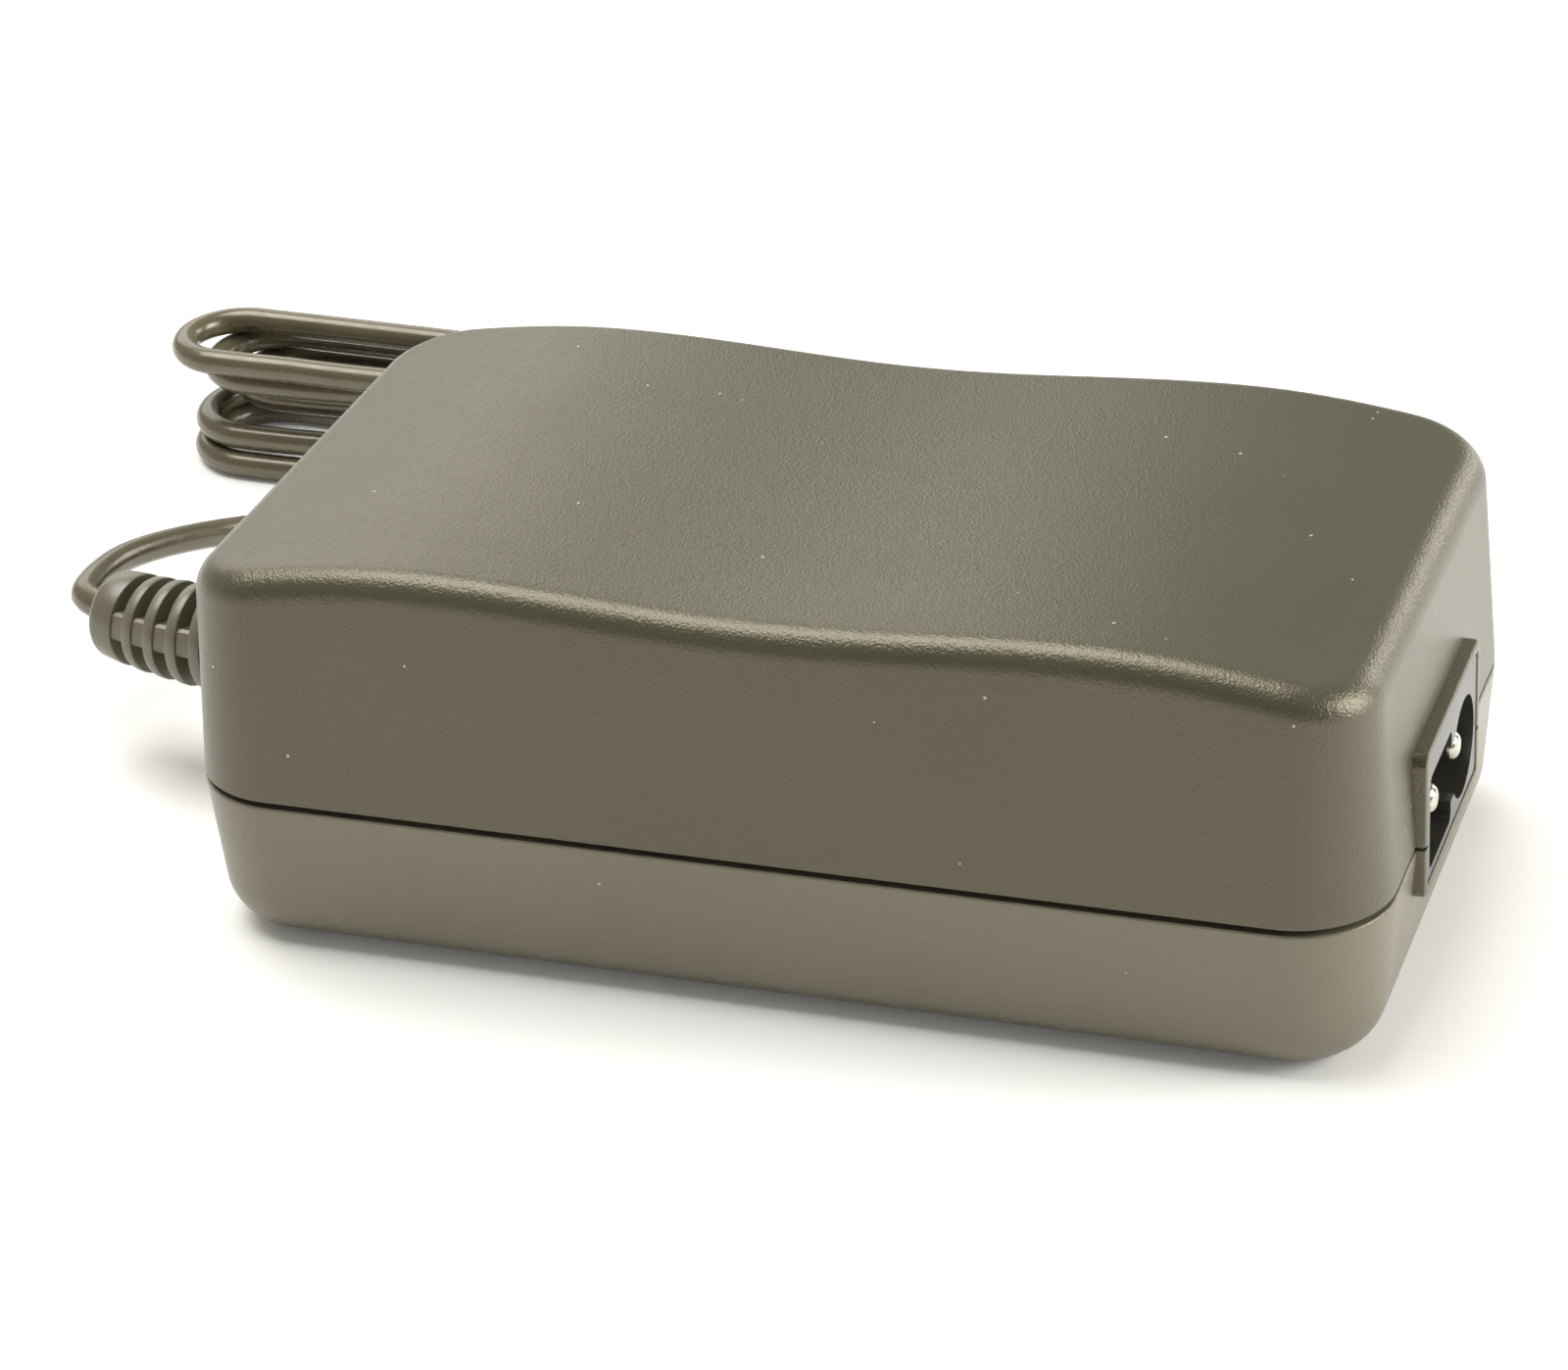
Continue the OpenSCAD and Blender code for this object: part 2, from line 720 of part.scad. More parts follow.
module plug_grip() {
    r = grip_d / 2;
    color([0.12, 0.12, 0.12])
    difference() {
        union() {
            on_plug(plug_x)
                rotate_extrude()
                    polygon(concat(
                        [[0, 0], [cord_r + 0.8, 0], [cord_r + 1.6, 5], [r - 1, 9]],
                        [for (a = [0:22.5:90]) [r - 1 + sin(a), 10.5 - cos(a) * 1.5]],
                        [for (a = [0:22.5:90]) [r - 0.8 + 0.8 * cos(a), grip_len - 0.8 + 0.8 * sin(a)]],
                        [[0, grip_len]]
                    ));
        }
        on_plug(barrel_x - pocket)
            cylinder(h = pocket + 1, r = barrel_d / 2 + barrel_seat + fit);
        // finger grooves
        for (k = [0:3])
            on_plug(plug_x + 12 + 2 * k)
                difference() {
                    cylinder(h = 1, r = r + 1);
                    translate([0, 0, -1])
                        cylinder(h = 3, r = r - 0.4);
                }
    }
}

sleeve_t = 0.45;
insulator_r = barrel_d / 2 - sleeve_t;
contact_r = contact_bore / 2 + 0.3;

module plug_barrel() {
    color([0.8, 0.79, 0.75])
    on_plug(barrel_x - pocket)
        difference() {
            union() {
                cylinder(h = pocket, r = barrel_d / 2 + barrel_seat);
                cylinder(h = pocket + barrel_len - 0.3, r = barrel_d / 2);
            }
            translate([0, 0, 1])
                cylinder(h = pocket + barrel_len, r = insulator_r);
        }
}

module plug_insulator() {
    tip_x = pocket + barrel_len;
    color([0.07, 0.07, 0.07])
    on_plug(barrel_x - pocket)
        difference() {
            union() {
                translate([0, 0, 1])
                    cylinder(h = tip_x - 1, r = insulator_r - fit);
                translate([0, 0, tip_x - 0.3])
                    cylinder(h = 0.8, r1 = barrel_d / 2, r2 = barrel_d / 2 - 0.4);
            }
            translate([0, 0, 2])
                cylinder(h = tip_x, r = contact_r + fit);
        }
}

module plug_contact() {
    color([0.8, 0.7, 0.4])
    on_plug(barrel_x - pocket)
        difference() {
            translate([0, 0, 2])
                cylinder(h = pocket + barrel_len - 2.5, r = contact_r);
            translate([0, 0, 3.5])
                cylinder(h = pocket + barrel_len, r = contact_bore / 2);
        }
}

// ---------- board and what it carries ----------

// Square leads of a component, through the board.
module legs(at, w) {
    for (p = at)
        translate([p.x - w / 2, p.y - w / 2, board_z - 1])
            cube([w, w, board_t + 1 + eps]);
}

// The parts are drawn for a board of this length and half width. They keep their places as
// shares of it, and shrink with the side that shrinks more.
drawn_len = 71.5;
drawn_half_w = 22.28;
part_k = min((board_x1 - board_x0) / drawn_len, board_half_w / drawn_half_w);

// Place on the board, measured from its middle.
function spot(x, y) = [
    (board_x0 + board_x1) / 2 + x * (board_x1 - board_x0) / drawn_len,
    y * board_half_w / drawn_half_w
];

// Sets a part, drawn about its own foot, on the board.
module on_board(at, z = deck_z) {
    translate([at.x, at.y, z])
        scale(part_k)
            children();
}

bulk_at = spot(14.25, -12);
choke_at = spot(14.45, 8.6);
core_at = spot(-6.25, 0);
xcap_at = spot(27.05, -4);
fuse_at = spot(28.25, 10);
ntc_at = spot(27.25, -17.6);
bridge_at = spot(27.25, 17.6);
out_caps = [spot(-21.75, -16), spot(-29.75, -14.4), spot(-21.75, -6.8)];
drum_at = spot(-29.25, 6);
ycap_at = spot(-4.75, -18.2);
opto_at = spot(-13.25, -18.3);

// The two leads of a part, dx and dy to either side of its middle.
function pair(at, dx, dy) = [at + part_k * [dx, dy], at - part_k * [dx, dy]];

bulk_legs = pair(bulk_at, 0, 3.75);
xcap_legs = pair(xcap_at, 0, 7.5);
cap_legs = [for (p = out_caps) each pair(p, 1.8, 0)];
fuse_legs = pair(fuse_at, 0, 2.54);
choke_legs = [for (sx = [-1, 1]) each pair(choke_at, 5, 5 * sx)];
bobbin_legs = [for (sx = [-1, 1], j = [-2:2]) core_at + part_k * [8.6 * sx, 3.2 * j]];
drum_legs = pair(drum_at, 0, 2.5);
all_legs = concat(bulk_legs, xcap_legs, cap_legs, fuse_legs, choke_legs, bobbin_legs, drum_legs);
leg_w = 0.7;

module circuit_board() {
    color([0.35, 0.45, 0.2])
    difference() {
        translate([board_x0, -board_half_w, board_z])
            cube([board_x1 - board_x0, 2 * board_half_w, board_t]);
        for (x = post_x, sy = [-1, 1])
            translate([x, sy * post_y, board_z - 1])
                cylinder(h = board_t + 2, r = pip_r + 0.1, $fn = 24);
        for (p = all_legs)
            translate([p.x - leg_w / 2 - 0.15, p.y - leg_w / 2 - 0.15, board_z - 1])
                cube([leg_w + 0.3, leg_w + 0.3, board_t + 2]);
    }
}

module insulating_sheet() {
    color([0.85, 0.84, 0.75])
    translate([0, 0, floor_z])
        linear_extrude(0.4)
            difference() {
                translate([board_x0 + 1, -board_half_w + 2])
                    square([board_x1 - board_x0 - 2, 2 * board_half_w - 4]);
                for (x = post_x, sy = [-1, 1])
                    translate([x, sy * post_y])
                        circle(post_r + clear, $fn = 24);
            }
}

module fuse() {
    color([0.25, 0.15, 0.1])
    union() {
        on_board(fuse_at)
            cylinder(h = 8, r = 4.1, $fn = 32);
        legs(fuse_legs, leg_w);
    }
}

module thermistor() {
    color([0.1, 0.2, 0.12])
    on_board(ntc_at) {
        translate([-1.9, 0, 5])
            rotate([0, 90, 0])
                cylinder(h = 3.8, r = 3.9, $fn = 32);
        for (sy = [-1, 1])
            translate([-0.4, sy * 1.8 - 0.4, 0])
                cube([0.8, 0.8, 4]);
    }
}

module x_capacitor() {
    color([0.75, 0.65, 0.2])
    union() {
        on_board(xcap_at)
            translate([-3.2, -9, 0])
                cube([6.4, 18, 13]);
        legs(xcap_legs, leg_w);
    }
}

choke_in = 4.6;
choke_out = 7.4;
choke_base = 1.3;
choke_t = 6;

module choke_core() {
    color([0.2, 0.2, 0.21])
    on_board(choke_at)
        rotate_extrude()
            translate([choke_in, choke_base])
                square([choke_out - choke_in, choke_t]);
}

// Two windings round the ring, each a shell open where the core passes.
module choke_windings() {
    wrap = 1.2;
    color([0.65, 0.35, 0.15])
    union() {
        on_board(choke_at)
            for (turn = [20, 200])
                rotate([0, 0, turn])
                    rotate_extrude(angle = 140)
                        translate([0, choke_base])
                            difference() {
                                translate([choke_in - wrap, -wrap])
                                    square([choke_out - choke_in + 2 * wrap, choke_t + 2 * wrap]);
                                translate([choke_in - fit, -fit])
                                    square([choke_out - choke_in + 2 * fit, choke_t + 2 * fit]);
                            }
        for (p = choke_legs)
            translate([p.x - leg_w / 2, p.y - leg_w / 2, board_z - 1])
                cube([leg_w, leg_w, board_t + 1 + part_k * (choke_base + 0.5)]);
    }
}

module bridge_rectifier() {
    color([0.1, 0.1, 0.1])
    on_board(bridge_at)
        translate([-3.9, -3, 0])
            cube([7.8, 6, 3.4]);
}

// Can with a rolled groove near its foot.
module can(d, h) {
    r = d / 2;
    rotate_extrude()
        polygon([
            [0, 0], [r - 0.4, 0], [r, 0.4], [r, 2.2], [r - 0.7, 2.8], [r, 3.4],
            [r, h - 0.6], [r - 0.6, h], [0, h]
        ]);
}

module bulk_capacitor() {
    color([0.12, 0.12, 0.14])
    union() {
        on_board(bulk_at)
            can(bulk_d, bulk_h);
        legs(bulk_legs, leg_w);
    }
}

module output_capacitors() {
    color([0.2, 0.35, 0.25])
    union() {
        for (p = out_caps)
            on_board(p)
                can(out_cap_d, out_cap_h);
        legs(cap_legs, leg_w);
    }
}

// Transformer: a frame core with its centre leg through the bobbin.
core_base = 1;
outer_leg = core_leg / 2 + 1;
window_w = (core_wid - core_leg - 2 * outer_leg) / 2;
window_h = core_h - core_leg - 1;
window_z = core_base + (core_leg + 1) / 2;
bobbin_t = 0.8;
bobbin_x = core_t / 2 + 4.2;

module transformer_core() {
    color([0.18, 0.18, 0.19])
    on_board(core_at)
        difference() {
            translate([-core_t / 2, -core_wid / 2, core_base])
                cube([core_t, core_wid, core_h]);
            for (sy = [-1, 1])
                translate([-core_t, sy * (core_leg + window_w) / 2 - window_w / 2, window_z])
                    cube([2 * core_t, window_w, window_h]);
        }
}

module transformer_bobbin() {
    bw = core_leg / 2 + window_w - 0.2;
    tube = [core_t + 2 * (fit + bobbin_t), core_leg + 2 * (fit + bobbin_t)];
    color([0.5, 0.2, 0.1])
    union() {
        on_board(core_at) {
            difference() {
                union() {
                    for (z = [window_z + 0.1, window_z + window_h - 0.1 - bobbin_t])
                        translate([-bobbin_x, -bw, z])
                            cube([2 * bobbin_x, 2 * bw, bobbin_t]);
                    translate([-tube.x / 2, -tube.y / 2, window_z + 0.1])
                        cube([tube.x, tube.y, window_h - 0.2]);
                }
                translate([-core_t / 2 - fit, -core_leg / 2 - fit, window_z - 1])
                    cube([core_t + 2 * fit, core_leg + 2 * fit, window_h + 2]);
            }
            // pin rails down to the board
            for (sx = [-1, 1])
                translate([sx * 8.6 - 1.2, -8, 0])
                    cube([2.4, 16, window_z + 0.1 + bobbin_t]);
        }
        legs(bobbin_legs, leg_w);
    }
}

module transformer_winding() {
    in_x = core_t / 2 + fit + bobbin_t + 0.1;
    in_y = core_leg / 2 + fit + bobbin_t + 0.1;
    build = window_w - bobbin_t - 1;
    z0 = window_z + 0.1 + bobbin_t + 0.1;
    color([0.8, 0.7, 0.3])
    on_board(core_at)
        translate([0, 0, z0])
            linear_extrude(window_h - 2 * (0.2 + bobbin_t))
                difference() {
                    rounded(2 * (in_x + build), 2 * (in_y + build), build);
                    square([2 * in_x, 2 * in_y], center = true);
                }
}

sink_y = board_half_w - 0.7 - sink_t;   // inner face of both heatsinks
screw_up = 16;
sink_screws = [spot(-8.25, 0).x, spot(-25.75, 0).x];

// Heatsink plate at the edge of the board, from x0 to x1 off its middle, tapped for its screw.
module heatsink(x0, x1, screw_x) {
    left = spot(x0, 0).x;
    right = spot(x1, 0).x;
    lip = 5 * part_k;
    difference() {
        union() {
            translate([left, sink_y, deck_z])
                cube([right - left, sink_t, sink_h]);
            translate([left, sink_y - lip, deck_z + sink_h - sink_t])
                cube([right - left, lip + eps, sink_t]);
        }
        translate([screw_x, sink_y - 1, deck_z + screw_up * part_k])
            rotate([-90, 0, 0])
                cylinder(h = sink_t + 2, r = 1.5 * part_k, $fn = 24);
    }
}

module primary_heatsink() {
    color([0.7, 0.71, 0.72])
    heatsink(-14.75, 23.25, sink_screws[0]);
}

module secondary_heatsink() {
    color([0.7, 0.71, 0.72])
    heatsink(-32.25, -18.75, sink_screws[1]);
}

// Three-legged power package, its tab flat on a heatsink.
module package(x) {
    on_board([x, sink_y])
        difference() {
            union() {
                translate([-5, -1.3, 4])
                    cube([10, 1.3, 15]);
                translate([-5, -4.4, 4])
                    cube([10, 4.4, 8.6]);
                for (k = [-1, 0, 1])
                    translate([2.54 * k - 0.4, -2.8, 0])
                        cube([0.8, 0.6, 4 + eps]);
            }
            translate([0, -3, screw_up])
                rotate([-90, 0, 0])
                    cylinder(h = 5, r = 1.7, $fn = 24);
        }
}

module switching_transistor() {
    color([0.1, 0.1, 0.1])
    package(sink_screws[0]);
}

module output_rectifier() {
    color([0.1, 0.1, 0.1])
    package(sink_screws[1]);
}

module transistor_screws() {
    color([0.75, 0.75, 0.74])
    for (x = sink_screws)
        translate([x, sink_y - 1.3 * part_k, deck_z + screw_up * part_k])
            rotate([90, 0, 0]) {
                cylinder(h = 1.6 * part_k, r = 2.6 * part_k, $fn = 24);
                translate([0, 0, -1.3 * part_k - sink_t])
                    cylinder(h = 1.3 * part_k + sink_t + eps, r = 1.45 * part_k, $fn = 24);
            }
}

// Drum choke with its coil between two flanges.
module output_choke() {
    color([0.2, 0.2, 0.21])
    union() {
        on_board(drum_at)
            rotate_extrude($fn = 32)
                polygon([
                    [0, 0], [4.5, 0], [4.5, 1.4], [3.8, 1.4], [3.8, 10.6], [4.5, 10.6],
                    [4.5, 12], [0, 12]
                ]);
        legs(drum_legs, leg_w);
    }
}

module y_capacitor() {
    color([0.15, 0.35, 0.6])
    on_board(ycap_at) {
        translate([0, 1.6, 5.2])
            rotate([90, 0, 0])
                cylinder(h = 3.2, r = 4, $fn = 32);
        for (sx = [-1, 1])
            translate([sx * 2.5 - 0.4, -0.4, 0])
                cube([0.8, 0.8, 4]);
    }
}

module optocoupler() {
    color([0.12, 0.12, 0.12])
    on_board(opto_at)
        translate([-2.3, -3.2, 0])
            cube([4.6, 6.4, 3.5]);
}

module controller_chip() {
    color([0.1, 0.1, 0.1])
    on_board(spot(4.75, 5), board_z)
        translate([-2.5, -2, -1.5])
            cube([5, 4, 1.5]);
}

// Insulated wires from the gripped cord down onto the board.
module output_wire(sy, end) {
    x_end = end.x;
    y_end = end.y;
    x0 = gripped_x + clear;
    mid = [(x0 + x_end) / 2, (sy * 0.65 + y_end) / 2, (relief_z + deck_z) / 2];
    loft(tube_rings([
        [x0, sy * 0.65, relief_z], [x0 + 0.8, sy * 0.65, relief_z - 0.1],
        (mid + [x0, sy * 0.65, relief_z]) / 2 + [0.6, 0, 0.8], mid,
        (mid + [x_end, y_end, deck_z]) / 2 + [-0.4, 0, -0.4],
        [x_end - 0.2, y_end, deck_z + 1], [x_end, y_end, deck_z + 0.4]
    ], 1.1, 8));
}

module output_wire_positive() {
    color([0.7, 0.1, 0.1])
    output_wire(-1, spot(-31.75, -5.5));
}

module output_wire_negative() {
    color([0.1, 0.1, 0.1])
    output_wire(1, spot(-31.75, -0.5));
}

upper_shell();
lower_shell();
inlet_body();
inlet_pin_line();
inlet_pin_neutral();
strain_relief();
dc_cord_gripped();
dc_cord_lead();
dc_cord_hank();
dc_cord_tail();
hank_tie();
plug_grip();
plug_barrel();
plug_insulator();
plug_contact();
circuit_board();
insulating_sheet();
inlet_wire_line();
inlet_wire_neutral();
fuse();
thermistor();
x_capacitor();
choke_core();
choke_windings();
bridge_rectifier();
bulk_capacitor();
transformer_core();
transformer_bobbin();
transformer_winding();
primary_heatsink();
switching_transistor();
secondary_heatsink();
output_rectifier();
transistor_screws();
output_capacitors();
output_choke();
y_capacitor();
optocoupler();
controller_chip();
output_wire_positive();
output_wire_negative();
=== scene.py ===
import math

import bpy
from bpy.props import FloatProperty, FloatVectorProperty, IntProperty, PointerProperty
from mathutils import Matrix, Vector


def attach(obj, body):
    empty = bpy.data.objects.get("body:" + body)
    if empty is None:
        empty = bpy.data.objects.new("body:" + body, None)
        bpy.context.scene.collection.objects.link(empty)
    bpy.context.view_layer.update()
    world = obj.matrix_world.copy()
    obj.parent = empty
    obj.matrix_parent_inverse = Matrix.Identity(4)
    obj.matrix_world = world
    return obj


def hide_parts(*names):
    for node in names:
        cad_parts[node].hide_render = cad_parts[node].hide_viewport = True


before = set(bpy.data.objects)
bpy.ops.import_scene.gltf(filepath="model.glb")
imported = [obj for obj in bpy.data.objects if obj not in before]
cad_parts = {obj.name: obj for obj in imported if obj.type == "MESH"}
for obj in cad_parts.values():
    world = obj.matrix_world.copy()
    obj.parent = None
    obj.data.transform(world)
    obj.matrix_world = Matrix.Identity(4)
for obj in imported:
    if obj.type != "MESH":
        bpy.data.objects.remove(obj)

bl_info = {
    "name": "Laptop Power Adapter",
    "version": (1, 0, 0),
    "blender": (4, 5, 0),
    "location": "View3D > Sidebar > Adapter",
    "description": "Builds a laptop power adapter with its DC lead over a packed CAD frame",
    "category": "Add Mesh",
}

MM = 0.001
ROOT = "root"           # the body that every piece rides on
SHARP = 35              # edges past this angle, in degrees, stay sharp
WAVE = math.pi / 10     # period of a wave texture at scale 1

# Camera: place in metres, turn in degrees, focal length and frame width in pixels.
CAMERA_AT = (0.110266, -0.317314, 0.195537)
CAMERA_YAW, CAMERA_PITCH, CAMERA_ROLL = -20.113, -28.126, -3.317
FOCAL_PX, FRAME_PX = 4841.651, 1600
SENSOR = 36             # its width in mm

# Inlet, in mm: sideways place, height of the pins, and the bezel round it.
INLET_Y, PIN_Z = -1.3, 14.6
BEZEL_W, BEZEL_H, BEZEL_R = 20.5, 12.6, 1.2
BEZEL_RIM, BEZEL_PROUD = 1.0, 0.7
BEZEL_Z = PIN_Z + 0.55  # height of its centre

# Where the shells meet, in mm.
LIP = 0.2               # rounding of the edges beside the shadow groove
TONGUE = 1.6            # height of the lower shell's tongue above the parting line
NECK_R = 4.3            # hole for the strain relief
NECK_DOWN = 0.3         # its centre, and the relief's, below the parting line

# Strain relief, in mm: radius at the wall and at the tip, and its row of slots.
RELIEF_R0, RELIEF_R1 = 5.0, 3.85
CORE_R = 2.3            # core that the ribs stand on
SLOT_PITCH, SLOT, SLOTS = 2.15, 1.0, 7
NOSE = 1.8              # solid end past the last slot

# Lead's route from the strain relief to the hank, and from the hank to the plug, in mm. Each was
# laid to an end of the hank at LEAD_MEETS or TAIL_MEETS, and is stretched to where that end is.
LEAD_POINTS = [
    (-70.9, 4.6, 13.3), (-71.9, 7, 13.2), (-72.6, 10, 12.8), (-72.9, 14, 12.2),
    (-72.5, 18, 11.4), (-71.5, 22.5, 10.3), (-70.2, 27, 9), (-69.2, 32, 7.2),
    (-69, 37, 5), (-69.4, 41, 3.2), (-69.8, 44.6, 2), (-69.6, 48.2, 1.6), (-68, 51.4, 1.5),
    (-65.8, 53, 1.6),
]
TAIL_POINTS = [
    (-52, 51.6, 13.2), (-47.5, 49.2, 13.2), (-43.5, 47.9, 13), (-38, 46.8, 12.6),
    (-31, 45.6, 11.8), (-24, 44.7, 10.6), (-16, 44, 9), (-9, 43.6, 7.2), (-3, 43.5, 5.6),
]
LEAD_MEETS = (-63.3, 53.4, 1.6)
TAIL_MEETS = (-57.6, 53.4, 13.1)
PLUG_AT = (4.0, 43.5, 5.0)
HANK_AT = (-41.2, 61.2)
HANK_STEPS = 700        # steps of the cord along the hank

# Loops of the hank from the floor up, in mm: radius of the end loops, reach past the straight
# runs at the far end, and shift away from the housing.
LOOPS = [(6.3, 0.6, 0), (5.8, 1.0, 0.4), (5.6, -1.5, 4), (5.6, 0.4, 1.7), (5.0, 3.2, -0.4)]


# ---------------------------------------------------------------- settings

def srgb(hex_code):
    """Linear RGBA from an sRGB hex code such as '7f7a70'."""
    out = []
    for i in (0, 2, 4):
        c = int(hex_code[i:i + 2], 16) / 255
        out.append(c / 12.92 if c <= 0.04045 else ((c + 0.055) / 1.055) ** 2.4)
    return (*out, 1.0)


def colour(name, hex_code, about):
    """A colour setting, given as an sRGB hex code."""
    return FloatVectorProperty(name=name, description=about, default=srgb(hex_code), size=4,
                               min=0.0, max=1.0, subtype="COLOR")


def length(name, default_mm, about):
    """A length setting, given in millimetres and kept in metres."""
    return FloatProperty(name=name, description=about, default=default_mm * MM,
                         min=0.0, precision=5, unit="LENGTH", subtype="DISTANCE")


class AdapterSettings(bpy.types.PropertyGroup):
    """Sizes and colours that a user would change"""
    body_len: length("Length", 96.5, "Housing's length at the parting line")
    body_wid: length("Width", 52.0, "Housing's width at the parting line")
    crown_z: length("Crown height", 34.3, "Height of the two humps of the top")
    part_z: length("Parting height", 13.5, "Height of the line where the shells meet")
    corner_r: length("Corner radius", 7.7, "Radius of the upright corners")
    wave_dip: length("Wave dip", 1.05, "Depth of the dip between the humps")
    end_drop: length("End drop", 2.7, "Drop of the top from a hump to the end")
    top_edge_r: length("Top edge", 2.4, "Rounding of the top edge")
    base_edge_r: length("Bottom edge", 4.6, "Rounding of the bottom edge")
    wall: length("Wall", 2.2, "Wall of both shells")
    groove_h: length("Groove", 0.45, "Height of the shadow groove between the shells")
    cord_d: length("Cord diameter", 2.5, "Diameter of the DC lead")
    hank_rise: length("Hank rise", 2.53, "Upward step of the hank from layer to layer")
    hank_draw: length("Hank draw", 1.5, "Draw-in of each side at the tie")
    hank_run: length("Hank run", 76.0, "Length of the hank's straight runs")
    tie_t: length("Tie thickness", 0.5, "Thickness of the tie's strap")
    tie_w: length("Tie width", 4.0, "Width of the tie's strap")
    relief_len: length("Strain relief", 19.0, "Length of the strain relief outside the housing")
    hump_at: FloatProperty(name="Hump place", default=0.55, min=0.3, max=0.8,
                           description="Place of a hump, as a share of half the length")
    upper_draft: FloatProperty(name="Upper draft", default=math.radians(3.3), subtype="ANGLE",
                               description="Draft of the upper shell's sides")
    lower_draft: FloatProperty(name="Lower draft", default=math.radians(4.6), subtype="ANGLE",
                               description="Draft of the lower shell's sides")
    relief_lean: FloatProperty(name="Strain relief lean", default=math.radians(21), subtype="ANGLE",
                               description="Sideways lean of the strain relief's tip")
    hank_turn: FloatProperty(name="Hank turn", default=math.radians(2.5), subtype="ANGLE",
                             description="Turn of the hank toward the housing")
    upper_colour: colour("Upper shell colour", "474538", "Colour of the upper shell's plastic")
    # Lighter than the upper shell: partly its own tone, partly painted light for the floor its
    # down-facing sides reflect.
    lower_colour_and_floor_light: colour("Lower shell colour", "706c5f", "Colour of the lower shell's plastic")
    relief_colour: colour("Strain relief colour", "6a6552", "Colour of the strain relief and grip")
    cord_colour: colour("Cord colour", "58523f", "Colour of the lead's jacket")
    cord_sides: IntProperty(name="Cord sides", default=16, min=8, max=32,
                            description="Sides of the lead's tube")


def mm(value):
    """A length setting in millimetres."""
    return value / MM


# ---------------------------------------------------------------- materials

def add_node(tree, kind, sockets=None, stops=(), **settings):
    """Adds a node with its settings. A socket takes an output, a node for its first output or a
    plain value, and stops are the (position, colour) pairs of a colour ramp."""
    n = tree.nodes.new(kind)
    for key, value in settings.items():
        setattr(n, key, value)
    for key, source in (sockets or {}).items():
        if isinstance(source, bpy.types.Node):
            source = source.outputs[0]
        if isinstance(source, bpy.types.NodeSocket):
            tree.links.new(source, n.inputs[key])
        else:
            n.inputs[key].default_value = source
    for k, (at, tint) in enumerate(stops):
        ramp = n.color_ramp.elements
        item = ramp[k] if k < len(ramp) else ramp.new(at)
        item.position = at
        item.color = tint
    return n


def new_material(name):
    """(material, tree, object coordinates) of a new material, still without its shader."""
    m = bpy.data.materials.new(name)
    m.use_nodes = True
    m.node_tree.nodes.clear()
    return m, m.node_tree, add_node(m.node_tree, "ShaderNodeTexCoord").outputs["Object"]


def surface(m, sockets):
    """Ends a material in its shader, with these sockets."""
    shader = add_node(m.node_tree, "ShaderNodeBsdfPrincipled", sockets)
    add_node(m.node_tree, "ShaderNodeOutputMaterial", {"Surface": shader})
    return m


def grey(v):
    """The grey that stands for a plain value v."""
    return (v, v, v, 1.0)


def shades(base, share):
    """The base colour darker and lighter by a share of itself."""
    return [(*(c * k for c in base[:3]), 1.0) for k in (1 - share, 1 + share)]


def mottle(tree, at, size_mm, low, high, detail=2.0, ends=(0.3, 0.7)):
    """A colour that drifts from low to high and back over patches about size_mm across."""
    patches = add_node(tree, "ShaderNodeTexNoise", {
        "Vector": at, "Scale": 1 / (size_mm * MM), "Detail": detail})
    return add_node(tree, "ShaderNodeValToRGB", {"Fac": patches}, zip(ends, (low, high)))


def grain(tree, at, size_mm, depth_mm, strength=1.0, detail=2.0, rough=0.5, over=None):
    """Relief of pits about size_mm across and depth_mm deep, over a coarser relief if given."""
    pits = add_node(tree, "ShaderNodeTexNoise", {
        "Vector": at, "Scale": 1 / (size_mm * MM), "Detail": detail, "Roughness": rough})
    sockets = {"Height": pits, "Strength": strength, "Distance": depth_mm * MM}
    if over is not None:
        sockets["Normal"] = over
    return add_node(tree, "ShaderNodeBump", sockets)


def plastic(name, dark, light, rough=(0.4, 0.55), grain_mm=0.35, grain_depth=0.02, mottle_mm=14,
            specular=0.5):
    """Moulded plastic: a slow mottle and uneven gloss that break up the flats, and a fine grain
    that softens the highlights. The real grain is about 0.1 mm across; it is drawn coarser so
    that it shows."""
    m, tree, at = new_material(name)
    return surface(m, {
        "Base Color": mottle(tree, at, mottle_mm, srgb(dark), srgb(light), detail=3.0,
                             ends=(0.35, 0.68)),
        "Roughness": mottle(tree, at, 5, grey(rough[0]), grey(rough[1])),
        "Normal": grain(tree, at, grain_mm, grain_depth, detail=2.5, rough=0.55),
        "Specular IOR Level": specular})


